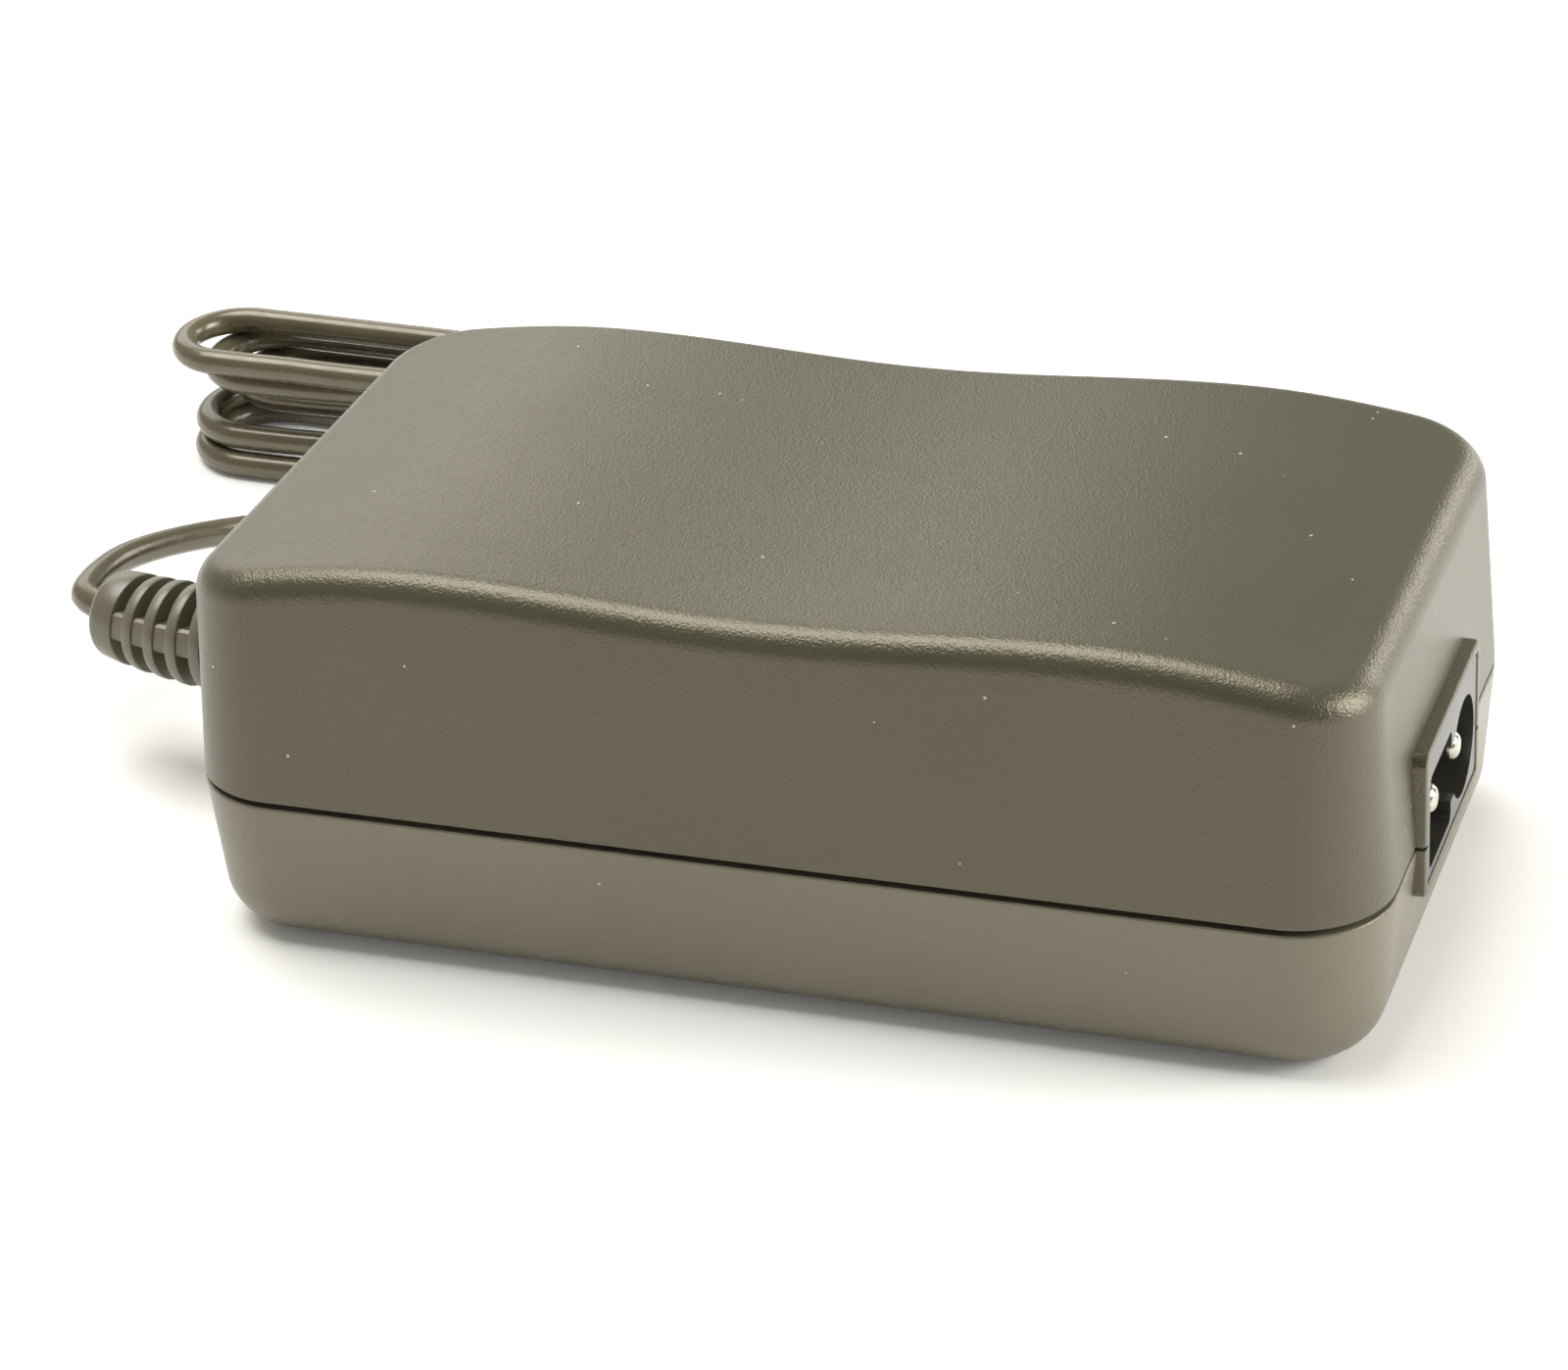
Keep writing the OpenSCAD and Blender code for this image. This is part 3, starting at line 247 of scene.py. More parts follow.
def housing_material(name, base):
    """Injection-moulded ABS and polycarbonate with a spark-eroded grain: a satin surface with soft
    highlights, a warm sheen where it is seen at a slant, and a few specks of dust."""
    m, tree, at = new_material(name)
    body = mottle(tree, at, 16, *shades(base, 0.05), detail=3.0)
    # Dust: rare pale specks, each a small dot in a random few of cells 2.1 mm across.
    cells = add_node(tree, "ShaderNodeTexVoronoi", {"Vector": at, "Scale": 1 / (2.1 * MM)})
    dot = add_node(tree, "ShaderNodeValToRGB", {"Fac": cells.outputs["Distance"]},
                   [(0.0, grey(1)), (0.055, grey(1)), (0.075, grey(0))])
    draw = add_node(tree, "ShaderNodeSeparateColor", {"Color": cells.outputs["Color"]})
    few = add_node(tree, "ShaderNodeValToRGB", {"Fac": draw.outputs["Red"]},
                   [(0.85, grey(0)), (0.87, grey(1))])
    dust = add_node(tree, "ShaderNodeMath", {0: dot, 1: few}, operation="MULTIPLY")
    dusty = add_node(tree, "ShaderNodeMix", {0: dust, 6: body, 7: srgb("b9b5a8")}, data_type="RGBA")
    # Grain of the spark-eroded tool over a slower unevenness. It breaks up the highlight along the
    # rolled edge and hardly shows on the flats. Real pits are about 0.1 mm across; they are drawn
    # 0.22 mm across, as coarse as they need to be to show.
    coarse = grain(tree, at, 0.9, 0.025, 0.4)
    fine = grain(tree, at, 0.22, 0.06, detail=1.5, rough=0.6, over=coarse)
    return surface(m, {
        "Base Color": dusty.outputs[2],
        "Roughness": mottle(tree, at, 9, grey(0.29), grey(0.32)),
        "Normal": fine,
        "Specular IOR Level": 0.9,
        "Specular Tint": srgb("fff3da")})


def cord_material(base):
    """Extruded soft PVC jacket: glossier than the housing, so that each strand has a thin
    highlight, with a slow mottle and faint unevenness from handling."""
    m, tree, at = new_material("pvc_extruded_satin")
    return surface(m, {
        "Base Color": mottle(tree, at, 6, *shades(base, 0.14), detail=3.0),
        "Roughness": mottle(tree, at, 1.2, grey(0.2), grey(0.3)),
        "Normal": grain(tree, at, 0.9, 0.025, 0.35, detail=3.0),
        "Specular IOR Level": 1.0,
        "Specular Tint": srgb("fff6e6")})


def relief_material(base):
    """Overmoulded soft PVC: satin, so that each rib has a soft highlight, with a fine grain. The
    real grain is about 0.1 mm across; it is drawn at 0.3 mm so that it shows."""
    m, tree, at = new_material("pvc_overmoulded_satin")
    return surface(m, {
        "Base Color": mottle(tree, at, 5, *shades(base, 0.08), detail=3.0),
        "Roughness": mottle(tree, at, 5, grey(0.3), grey(0.38)),
        "Normal": grain(tree, at, 0.3, 0.015, detail=2.5, rough=0.55),
        "Specular IOR Level": 0.9})


def metal(name, tones, rough, scratch_mm=0.3):
    """Plated or rolled metal: a mirror blurred along fine scratches from drawing or rolling, with a
    faint mottle. Real scratches are a few hundredths of a millimetre wide; they are drawn wider so
    that they show."""
    m, tree, at = new_material(name)
    drawn = add_node(tree, "ShaderNodeMapping", {"Vector": at, "Scale": (0.12, 1.0, 1.0)})
    return surface(m, {
        "Base Color": mottle(tree, at, 3, srgb(tones[0]), srgb(tones[1])),
        "Roughness": mottle(tree, drawn, scratch_mm, grey(rough * 0.7), grey(rough * 1.3),
                            detail=3.0),
        "Normal": grain(tree, drawn, scratch_mm, 0.004, 0.4, detail=3.0),
        "Metallic": 1.0})


def laminate_material(band_mm=0.9425):
    """Glass epoxy board: semi-gloss green resist over the faint bands of the glass cloth. Real
    threads are about 0.6 mm apart; the bands are drawn 0.94 mm apart so that they show."""
    m, tree, at = new_material("fr4_laminate_green_resist")
    cloth = add_node(tree, "ShaderNodeTexWave", {
        "Vector": at, "Scale": WAVE / (band_mm * MM), "Distortion": 0.4}).outputs["Fac"]
    return surface(m, {
        "Base Color": add_node(tree, "ShaderNodeValToRGB", {"Fac": cloth},
                               [(0.2, srgb("2c4a22")), (0.8, srgb("365a2a"))]),
        "Normal": add_node(tree, "ShaderNodeBump", {
            "Height": cloth, "Strength": 0.3, "Distance": 0.01 * MM}),
        "Roughness": 0.35})


def wound_material(turn_mm=0.5027):
    """Enamelled copper winding: glossy rows of wire, with painted shade between the turns."""
    m, tree, at = new_material("copper_enamelled_winding")
    turns = add_node(tree, "ShaderNodeTexWave", {"Vector": at, "Scale": WAVE / (turn_mm * MM)},
                     wave_type="RINGS", rings_direction="Z").outputs["Fac"]
    return surface(m, {
        # Base colour: copper, with painted shade in the grooves where the turns meet.
        "Base Color": add_node(tree, "ShaderNodeValToRGB", {"Fac": turns},
                               [(0.1, srgb("5d2c12")), (0.7, srgb("b4622c"))]),
        "Normal": add_node(tree, "ShaderNodeBump", {
            "Height": turns, "Strength": 0.6, "Distance": 0.1 * MM}),
        "Roughness": 0.3})


def strap_material():
    """Woven nylon strap with fine loops: black and matt, with a fuzzy surface and no highlight.
    Real loops are about 0.2 mm across; they are drawn at 0.4 mm so that they show."""
    m, tree, at = new_material("nylon_woven_loop_strap")
    return surface(m, {
        "Base Color": mottle(tree, at, 0.4, srgb("141414"), srgb("2a2a29"), detail=3.0),
        "Normal": grain(tree, at, 0.4, 0.12, 0.8, detail=3.0),
        "Roughness": 0.85})


def floor_material(lift=0.07):
    """Matt white paper sweep under the adapter: a faint mottle, and a lift toward white that the
    camera and reflections see but that lights nothing else."""
    m, tree, at = new_material("paper_sweep_matt_white")
    rays = add_node(tree, "ShaderNodeLightPath").outputs
    seen = rays["Is Camera Ray"]
    for ray in ("Is Glossy Ray", "Is Transmission Ray"):
        seen = add_node(tree, "ShaderNodeMath", {0: seen, 1: rays[ray]}, operation="MAXIMUM")
    glow = add_node(tree, "ShaderNodeMath", {0: seen, 1: lift}, operation="MULTIPLY")
    return surface(m, {
        "Base Color": mottle(tree, at, 60, srgb("fdfdfb"), srgb("ffffff")),
        "Roughness": 0.8,
        "Emission Color": srgb("ffffff"),
        "Emission Strength": glow})


# ---------------------------------------------------------------- meshes

def quarter(steps):
    """Angles from 0 to a right angle."""
    return [math.pi / 2 * k / steps for k in range(steps + 1)]


def full_turn(steps):
    """Angles all round a circle, half a step off its start."""
    return [2 * math.pi * (k + 0.5) / steps for k in range(steps)]


def skin(name, rings, material, closed=False, sharp=SHARP):
    """A mesh through rings of equal length, in mm, closed on itself or else capped: a cap's faces
    run across, from each point of a ring to the one opposite."""
    n, count = len(rings[0]), len(rings)
    verts = [Vector(p) * MM for ring in rings for p in ring]
    faces = []
    for k in range(count if closed else count - 1):
        a, b = k * n, (k + 1) % count * n
        faces += [(a + i, a + (i + 1) % n, b + (i + 1) % n, b + i) for i in range(n)]
    if not closed:
        last = (count - 1) * n
        for i in range(n // 2 - 1):
            j = n - 1 - i
            faces.append((i, j, j - 1, i + 1))
            faces.append((last + i, last + i + 1, last + j - 1, last + j))
    return mesh_piece(name, verts, faces, material, sharp)


def mesh_piece(name, verts, faces, material, sharp=SHARP):
    """A mesh object of one material, in metres."""
    mesh = bpy.data.meshes.new(name)
    mesh.from_pydata([tuple(v) for v in verts], [], faces)
    mesh.validate()
    mesh.materials.append(material)
    obj = bpy.data.objects.new(name, mesh)
    bpy.context.scene.collection.objects.link(obj)
    smooth(obj, sharp)
    return obj


def smooth(obj, sharp=SHARP):
    """Smooth shading but for edges past the sharp angle."""
    obj.data.polygons.foreach_set("use_smooth", [True] * len(obj.data.polygons))
    obj.data.set_sharp_from_angle(angle=math.radians(sharp))


def weighted(obj):
    """Normals weighted by face area, so that flats stay flat beside their roundings."""
    mod = obj.modifiers.new("Face normals", "WEIGHTED_NORMAL")
    mod.keep_sharp = True
    mod.weight = 80


def cut(obj, cutters):
    """Applies boolean cuts to obj and removes the cutters."""
    for c in cutters:
        mod = obj.modifiers.new("Cut", "BOOLEAN")
        mod.operation, mod.solver, mod.object = "DIFFERENCE", "EXACT", c
    bpy.context.view_layer.update()
    done = bpy.data.meshes.new_from_object(obj.evaluated_get(bpy.context.evaluated_depsgraph_get()))
    if not done.polygons:
        raise RuntimeError(f"{obj.name}: a cut left nothing")
    obj.modifiers.clear()
    old, obj.data = obj.data, done
    bpy.data.meshes.remove(old)
    for c in cutters:
        bpy.data.objects.remove(c)
    smooth(obj)


def joined(name, parts):
    """One object from several, as separate closed shells."""
    with bpy.context.temp_override(active_object=parts[0], selected_editable_objects=parts):
        bpy.ops.object.join()
    parts[0].name = name
    return parts[0]


def round_rect(w, h, r, per=8):
    """A rounded rectangle with per steps to a corner, anticlockwise from the lower right."""
    pts = []
    for cx, cy, start in ((1, -1, 270), (1, 1, 0), (-1, 1, 90), (-1, -1, 180)):
        for k in range(per + 1):
            a = math.radians(start + 90 * k / per)
            pts.append((cx * (w / 2 - r) + r * math.cos(a), cy * (h / 2 - r) + r * math.sin(a)))
    return pts


def x_ring(pts, x, y, z):
    """Points of a YZ outline at x, about (y, z)."""
    return [(x, y + a, z + b) for a, b in pts]


# ---------------------------------------------------------------- housing

class Housing:
    """The housing's surfaces in mm, from the settings: rings about it, each with as many points."""
    ARCS, SPANS = 16, 56        # steps to a corner and to a side

    def __init__(self, s):
        self.hl, self.hw = mm(s.body_len) / 2, mm(s.body_wid) / 2
        self.crown, self.part, self.corner = mm(s.crown_z), mm(s.part_z), mm(s.corner_r)
        self.dip, self.drop, self.hump = mm(s.wave_dip), mm(s.end_drop), s.hump_at
        self.tr, self.br = mm(s.top_edge_r), mm(s.base_edge_r)
        self.wall, self.groove = mm(s.wall), mm(s.groove_h)
        # How far the draft brings the sides in, at the top edge and at the bottom edge.
        self.up = math.tan(s.upper_draft) * (self.crown - self.tr - self.drop / 2 - self.part)
        self.low = math.tan(s.lower_draft) * (self.part - self.br)

    def top(self, x):
        """Height of the wavy top at x: a dip between two humps, then a fall to the end."""
        u = min(abs(x) / self.hl, 1)
        if u < self.hump:
            return self.crown - self.dip * (1 + math.cos(math.pi * u / self.hump)) / 2
        turn = math.pi / 2 * (u - self.hump) / (1 - self.hump)
        return self.crown - self.drop * (1 - math.cos(turn))

    def outline(self, inset):
        """The rounded outline, inset from the parting line's."""
        r = max(self.corner - inset, 0.8)
        a, b = self.hl - inset - r, self.hw - inset - r

        def corner(cx, cy, start):
            turn = [math.radians(start + 90 * k / self.ARCS) for k in range(self.ARCS + 1)]
            return [(cx + r * math.cos(t), cy + r * math.sin(t)) for t in turn]

        def side(x0, x1, y):
            return [(x0 + (x1 - x0) * i / self.SPANS, y) for i in range(1, self.SPANS)]

        return (corner(a, b, 0) + side(a, -a, b + r) + corner(-a, b, 90)
                + corner(-a, -b, 180) + side(-a, a, -b - r) + corner(a, -b, 270))

    def flat(self, inset, z):
        """A level ring."""
        return [(x, y, z) for x, y in self.outline(inset)]

    def wave(self, inset, below):
        """A ring that follows the wavy top, some way below it."""
        return [(x, y, self.top(x) - below) for x, y in self.outline(inset)]

    def between(self, a, b, t):
        """A ring between two others."""
        return [tuple(p + (q - p) * t for p, q in zip(u, v)) for u, v in zip(a, b)]

    def upper_rings(self):
        """Upper shell, from the inside of its top round the foot to the middle of the top."""
        z0 = self.part + self.groove / 2
        tongue = self.part + TONGUE
        inner = self.wall + self.up
        foot = [self.flat(LIP * (1 - math.sin(t)), z0 + LIP * (1 - math.cos(t)))
                for t in quarter(3)]
        brow = self.wave(self.up, self.tr)
        edge = [self.wave(self.up + self.tr * (1 - math.cos(t)), self.tr * (1 - math.sin(t)))
                for t in quarter(10)[1:]]
        # The extra rings close beside a rounding keep the wall and the top flat next to it.
        return [
            self.wave(inner + 1, self.wall), self.wave(inner, self.wall + 1),
            self.flat(self.wall, tongue), self.flat(self.wall / 2, tongue),
            self.flat(self.wall / 2, z0), *foot,
            self.between(foot[-1], brow, 0.05), self.between(foot[-1], brow, 0.93), brow, *edge,
            self.wave(self.up + self.tr + 0.9, 0), self.wave(self.up + self.tr + 5, 0),
        ]

    def lower_rings(self):
        """Lower shell, from the middle of the underside round its lip to the inside floor."""
        z1 = self.part - self.groove / 2
        tongue = self.part + TONGUE
        rebate = self.wall / 2 + 0.1
        edge = [self.flat(self.low + self.br * (1 - math.sin(t)), self.br * (1 - math.cos(t)))
                for t in quarter(10)]
        head = [self.flat(LIP * (1 - math.cos(t)), z1 - LIP * (1 - math.sin(t)))
                for t in quarter(3)]
        return [
            self.flat(self.low + self.br + 5, 0), self.flat(self.low + self.br + 0.9, 0), *edge,
            self.between(edge[-1], head[0], 0.07), self.between(edge[-1], head[0], 0.95), *head,
            self.flat(rebate, z1), self.flat(rebate, tongue),
            self.flat(self.wall, tongue), self.flat(self.wall + self.low, self.br),
            self.flat(self.low + self.br, self.wall),
        ]


def inlet_hole(h, material):
    """Cutter of the opening in the end wall behind the bezel."""
    hole = round_rect(BEZEL_W - 2 * BEZEL_RIM + 0.5, BEZEL_H - 2 * BEZEL_RIM + 0.5, 0.9)
    rings = [x_ring(hole, x, INLET_Y, BEZEL_Z) for x in (h.hl - 8, h.hl + 3)]
    return skin("cutter", rings, material)


def neck_hole(h, material):
    """Cutter of the strain relief's hole in the other end wall."""
    ring = [(NECK_R * math.cos(t), NECK_R * math.sin(t)) for t in full_turn(48)]
    z = h.part - NECK_DOWN
    return skin("cutter", [x_ring(ring, x, 0, z) for x in (-h.hl - 3, -h.hl + 6)], material)


def build_housing(s):
    """The two shells, in place of the CAD ones, and the inlet's bezel."""
    h = Housing(s)
    upper = housing_material("abs_pc_spark_eroded_upper", s.upper_colour)
    # The lower shell's lighter colour is partly painted light, for the bright floor below its
    # down-facing sides.
    lower = housing_material("abs_pc_spark_eroded_lower", s.lower_colour_and_floor_light)
    for node, rings, material in (("upper_shell", h.upper_rings(), upper),
                                  ("lower_shell", h.lower_rings(), lower)):
        shell = skin(node + "_skin", rings, material)
        cut(shell, [inlet_hole(h, material), neck_hole(h, material)])
        weighted(shell)
        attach(shell, ROOT)
        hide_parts(node)
    build_bezel(h, upper)


def build_bezel(h, material):
    """A frame round the inlet with a rolled outer edge, split at the parting line."""
    back, face = h.hl - h.wall - 0.6, h.hl + BEZEL_PROUD

    def ring(inset, x):
        w, d = BEZEL_W - 2 * inset, BEZEL_H - 2 * inset
        return x_ring(round_rect(w, d, max(BEZEL_R - inset, 0.25)), x, INLET_Y, BEZEL_Z)

    section = [(0.0, back), (0.0, face - 0.3), (0.09, face - 0.1), (0.28, face),
               (BEZEL_RIM - 0.15, face), (BEZEL_RIM - 0.04, face - 0.05), (BEZEL_RIM, face - 0.2),
               (BEZEL_RIM, back)]
    bezel = skin("inlet_bezel", [ring(i, x) for i, x in section], material, closed=True)
    slab = round_rect(3 * BEZEL_W, h.groove * 0.7, 0.05, 2)
    split = [x_ring(slab, x, 0, h.part) for x in (back - 1, face + 1)]
    cut(bezel, [skin("cutter", split, material)])
    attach(bezel, ROOT)


# ---------------------------------------------------------------- strain relief

class Relief:
    """The strain relief's axis, straight then bent toward +Y, in mm."""

    def __init__(self, s):
        self.length, self.lean = mm(s.relief_len), s.relief_lean
        self.straight = self.length * 0.25
        self.bend = self.length * 0.75 / self.lean
        self.wall_x, self.z = -mm(s.body_len) / 2 - 0.05, mm(s.part_z) - NECK_DOWN

    def turn(self, at):
        """How far the axis has turned at a distance from the wall, in radians."""
        return max(at - self.straight, 0) / self.bend

    def point(self, at):
        """The axis at a distance from the wall."""
        if at < self.straight:
            return Vector((self.wall_x - at, 0, self.z))
        a = self.turn(at)
        return Vector((self.wall_x - self.straight - self.bend * math.sin(a),
                       self.bend * (1 - math.cos(a)), self.z))

    def frame_at(self, at):
        """Directions along the axis, sideways and up at a distance from the wall."""
        a = self.turn(at)
        along = Vector((-math.cos(a), math.sin(a), 0))
        side = Vector((math.sin(a), math.cos(a), 0))
        return along, side, Vector((0, 0, 1))

    def radius(self, at):
        """Radius of the tapering sleeve at a distance from the wall."""
        return RELIEF_R0 + (RELIEF_R1 - RELIEF_R0) * at / self.length

    def ring(self, at, r, base, sides=40):
        """A circle at a place along the axis, square to the axis at base."""
        along, side, up = self.frame_at(base)
        centre = self.point(base) + along * (at - base)
        return [tuple(centre + r * (math.cos(t) * up + math.sin(t) * side))
                for t in full_turn(sides)]


def build_relief(s, material):
    """Strain relief: ribs on a thin core, held apart by two lines of webs."""
    rel = Relief(s)
    first = rel.length - SLOTS * SLOT_PITCH - NOSE

    def brim(at, way, soft=0.22):
        """Rounded edge of the rib whose face is at a place, from the face inward."""
        r = rel.radius(at)
        return [(at, r - soft), (at + way * soft * 0.3, r - soft * 0.3), (at + way * soft, r)]

    def rib(a, b):
        rows = brim(a, 1) + brim(b, -1)[::-1]
        return skin("rib", [rel.ring(p, r, a) for p, r in rows], material)

    parts = [rib(0, first)]
    for k in range(SLOTS - 1):
        at = first + k * SLOT_PITCH
        parts.append(rib(at + SLOT, at + SLOT_PITCH))
    # Nose: the last rib and the tip, with a rounded end dished in round the cord.
    start = first + (SLOTS - 1) * SLOT_PITCH + SLOT
    end, bulge = rel.length, 0.8
    tip = rel.radius(end)
    rows = brim(start, 1)
    rows += [(end - bulge + bulge * math.sin(t), tip - bulge + bulge * math.cos(t))
             for t in quarter(6)]
    rows += [(end, 1.6), (end - 0.5, 1.35)]
    parts.append(skin("nose", [rel.ring(p, r, start) for p, r in rows], material))
    steps = [rel.straight + (rel.length - 1 - rel.straight) * k / 12 for k in range(13)]
    core = [rel.ring(p, CORE_R, p) for p in [-4, 0.3] + steps]
    parts.append(skin("core", core, material))
    for k in range(SLOTS):
        parts += [web(rel, first + k * SLOT_PITCH, sign, material) for sign in (-1, 1)]
    piece = joined("strain_relief_sleeve", parts)
    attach(piece, ROOT)
    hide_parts("strain_relief")


def web(rel, at, sign, material, tilt=math.radians(16.5), half=1.2, root=1.5, bite=0.3):
    """A web across the slot that starts at a place, on the side given by sign. Tilted about the
    axis, it runs from inside the core to just under the ribs' edges and bites into both ribs."""
    along, side, up = rel.frame_at(at)
    out = sign * (side * math.cos(tilt) - up * math.sin(tilt))
    over = along.cross(out).normalized()
    r = rel.radius(at) - 0.3
    section = [(root, -half), (r - 0.35, -half), (r - 0.08, -half + 0.25), (r, 0),
               (r - 0.08, half - 0.25), (r - 0.35, half), (root, half), (root, 0)]
    if sign < 0:
        section = section[::-1]
    rows = []
    for p in (-bite, SLOT + bite):
        c = rel.point(at) + along * p
        rows.append([tuple(c + out * u + over * v * sign) for u, v in section])
    return skin("web", rows, material)


# ---------------------------------------------------------------- lead

def ease(x):
    """A smooth step from 0 to 1."""
    x = min(max(x, 0.0), 1.0)
    return x * x * (3 - 2 * x)


class Hank:
    """One loop to a layer, in mm; q counts PER_LOOP to a loop from the middle of its front run."""
    HALF = 5                # of q on half a run
    FOLD = 7                # on an end loop
    PER_LOOP = 4 * HALF + 2 * FOLD
    CLIMB = 8               # on a climb to the next layer, half of it on either side of the waist
    Q_IN, Q_OUT = 2, 2.5    # how far before the waist the cord comes in and goes out

    def __init__(self, s):
        self.run, self.rise = mm(s.hank_run), mm(s.hank_rise)
        self.draw, self.turn = mm(s.hank_draw), s.hank_turn
        self.lift = mm(s.tie_t) + 0.15      # room for the strap under the waist
        self.cr = mm(s.cord_d) / 2
        self.end = len(LOOPS) * self.PER_LOOP

    def route(self):
        """The centreline in even steps of q."""
        start, end = -self.Q_IN, self.end - self.Q_OUT
        return [self.point(start + (end - start) * i / HANK_STEPS) for i in range(HANK_STEPS + 1)]

    def blend(self, values, q):
        """A loop's value, eased into the next loop's along each climb."""
        out = values[0]
        for k in range(1, len(values)):
            out += (values[k] - values[k - 1]) * ease((q - k * self.PER_LOOP) / self.CLIMB + 0.5)
        return out

    def outside(self, q):
        """How far the cord's first and last lengths lie outside the loop beside them."""
        first = ease(q / self.CLIMB + 0.5)
        last = 1 - ease((q - self.end) / self.CLIMB + 0.5)
        return self.rise * (math.sqrt(1 - first * first) + math.sqrt(1 - last * last))

    def point(self, q):
        """The centreline's place at q, where the hank lies."""
        return self.place(*self.local(q))

    def local(self, q):
        """The centreline's place at q, about the middle of the hank."""
        k = max(min(math.floor(q / self.PER_LOOP), len(LOOPS) - 1), 0)
        radii, reaches, shifts = zip(*LOOPS)
        p, r, h = q - k * self.PER_LOOP, self.blend(radii, q), self.run / 2
        far = h + reaches[k]
        a1 = self.HALF + self.FOLD
        a2 = a1 + 2 * self.HALF
        a3 = a2 + self.FOLD
        if p < self.HALF:
            x, y = p / self.HALF * h, -r
        elif p < a1:
            t = math.pi * (p - self.HALF) / self.FOLD
            x, y = h + r * math.sin(t), -r * math.cos(t)
        elif p < a2:
            u = (a1 + self.HALF - p) / self.HALF
            x, y = u * (h if u > 0 else far), r
        elif p < a3:
            t = math.pi * (p - a2) / self.FOLD
            x, y = -far - r * math.sin(t), r * math.cos(t)
        else:
            x, y = (p - self.PER_LOOP) / self.HALF * far, -r
        # The waist: the sides draw in, and the loops lift off the strap under them.
        w = math.cos(math.pi / 2 * x / h) ** 2 if abs(x) < h else 0.0
        y += self.blend(shifts, q) - self.outside(q) - math.copysign(self.draw * w, y)
        z = self.cr + self.rise * self.blend(range(len(LOOPS)), q) + self.lift * w
        return x, y, z

    def place(self, x, y, z):
        """Sets a point of the hank down, turned about the middle of its far end loops."""
        cos, sin, along = math.cos(self.turn), math.sin(self.turn), x + self.run / 2
        return Vector((HANK_AT[0] - self.run / 2 + along * cos + y * sin,
                       HANK_AT[1] - along * sin + y * cos, z))


def on_line(p, q, a, b, t):
    """The point at t on the line that passes p at a and q at b."""
    return (b - t) / (b - a) * p + (t - a) / (b - a) * q


def spline(points, spacing=1.2):
    """A smooth centripetal curve through the points, in even steps of about spacing mm."""
    pts = [Vector(p) for p in points]
    ends = [2 * pts[0] - pts[1]] + pts + [2 * pts[-1] - pts[-2]]
    fine = [pts[0]]
    for i in range(1, len(ends) - 2):
        p0, p1, p2, p3 = ends[i - 1:i + 3]
        t0, knots = 0.0, [0.0]
        for a, b in ((p0, p1), (p1, p2), (p2, p3)):
            t0 += max((b - a).length, 1e-6) ** 0.5
            knots.append(t0)
        k0, k1, k2, k3 = knots
        count = max(2, math.ceil((p2 - p1).length / spacing))
        for j in range(1, count + 1):
            t = k1 + (k2 - k1) * j / count
            a1, a2, a3 = (on_line(*args, t) for args in (
                (p0, p1, k0, k1), (p1, p2, k1, k2), (p2, p3, k2, k3)))
            b1, b2 = on_line(a1, a2, k0, k2, t), on_line(a2, a3, k1, k3, t)
            fine.append(on_line(b1, b2, k1, k2, t))
    return fine


def lead_route(s):
    """The lead's whole centreline in mm, from the strain relief's tip to the plug."""
    rel, hank = Relief(s), Hank(s)
    d = mm(s.cord_d)
    tip = rel.point(rel.length)
    heading = Vector((-math.cos(s.relief_lean), math.sin(s.relief_lean), 0))
    turns = hank.route()
    first, last = turns[0], turns[-1]
    in_dir = (turns[1] - first).normalized()
    out_dir = (last - turns[-2]).normalized()
    start, end = first - d * in_dir, last + d * out_dir
    # Each end of a route runs straight for a cord's diameter.
    shift = start - Vector(LEAD_MEETS)
    n = len(LEAD_POINTS) - 1
    lead = [tip, tip + d * heading]
    lead += [Vector(p) + shift * (i / n) for i, p in enumerate(LEAD_POINTS)]
    lead += [first - 2 * d * in_dir, start]
    shift = end - Vector(TAIL_MEETS)
    n = len(TAIL_POINTS) - 1
    tail = [end, end + d * out_dir]
    tail += [Vector(p) + shift * (1 - i / n) for i, p in enumerate(TAIL_POINTS)]
    plug = Vector(PLUG_AT)
    tail += [plug - Vector((d, 0, 0)), plug]
    return spline(lead) + turns + spline(tail)


def tube(name, path, d, sides, material):
    """A round tube swept along a path, both in mm."""
    rings = []
    for i, p in enumerate(path):
        t = (path[min(i + 1, len(path) - 1)] - path[max(i - 1, 0)]).normalized()
        u = t.cross(Vector((0, 0, 1))).normalized()
        v = t.cross(u)
        rings.append([tuple(p + d / 2 * (math.cos(a) * u + math.sin(a) * v))
                      for a in full_turn(sides)])
    return skin(name, rings, material, sharp=60)


def build_tie(s, material):
    """The strap drawn tight round the waist of the hank, its end lapped on the housing's side."""
    steps, lap_from, lap_to = 72, 150, 210      # round the strap, and the lap's ends in degrees
    hank, t = Hank(s), mm(s.tie_t)
    runs = [hank.local(k * hank.PER_LOOP / 2)[1:] for k in range(2 * len(LOOPS))]
    inner = hank.cr + hank.lift - t
    half = mm(s.tie_w) / 2

    def round_runs(x, r, turns):
        """Points at x on the hull of circles of radius r about the runs."""
        pts = []
        for a in turns:
            c, w = math.cos(a), math.sin(a)
            y, z = max(runs, key=lambda run: run[0] * c + run[1] * w)
            pts.append(hank.place(x, y + r * c, z + r * w))
        return pts

    whole = [2 * math.pi * k / steps for k in range(steps)]
    edges = [(-half, inner), (-half, inner + t), (half, inner + t), (half, inner)]
    strap = skin("hank_tie_strap", [round_runs(x, r, whole) for x, r in edges], material,
                 closed=True)
    end = [math.radians(a) for a in range(lap_from, lap_to + 1, 5)]
    under, over = inner + t - 0.1, inner + 1.9 * t
    lap = skin("tie_lap", [round_runs(x, under, end) + round_runs(x, over, end[::-1])
                           for x in (-half, half)], material)
    return joined("hank_tie_strap", [strap, lap])


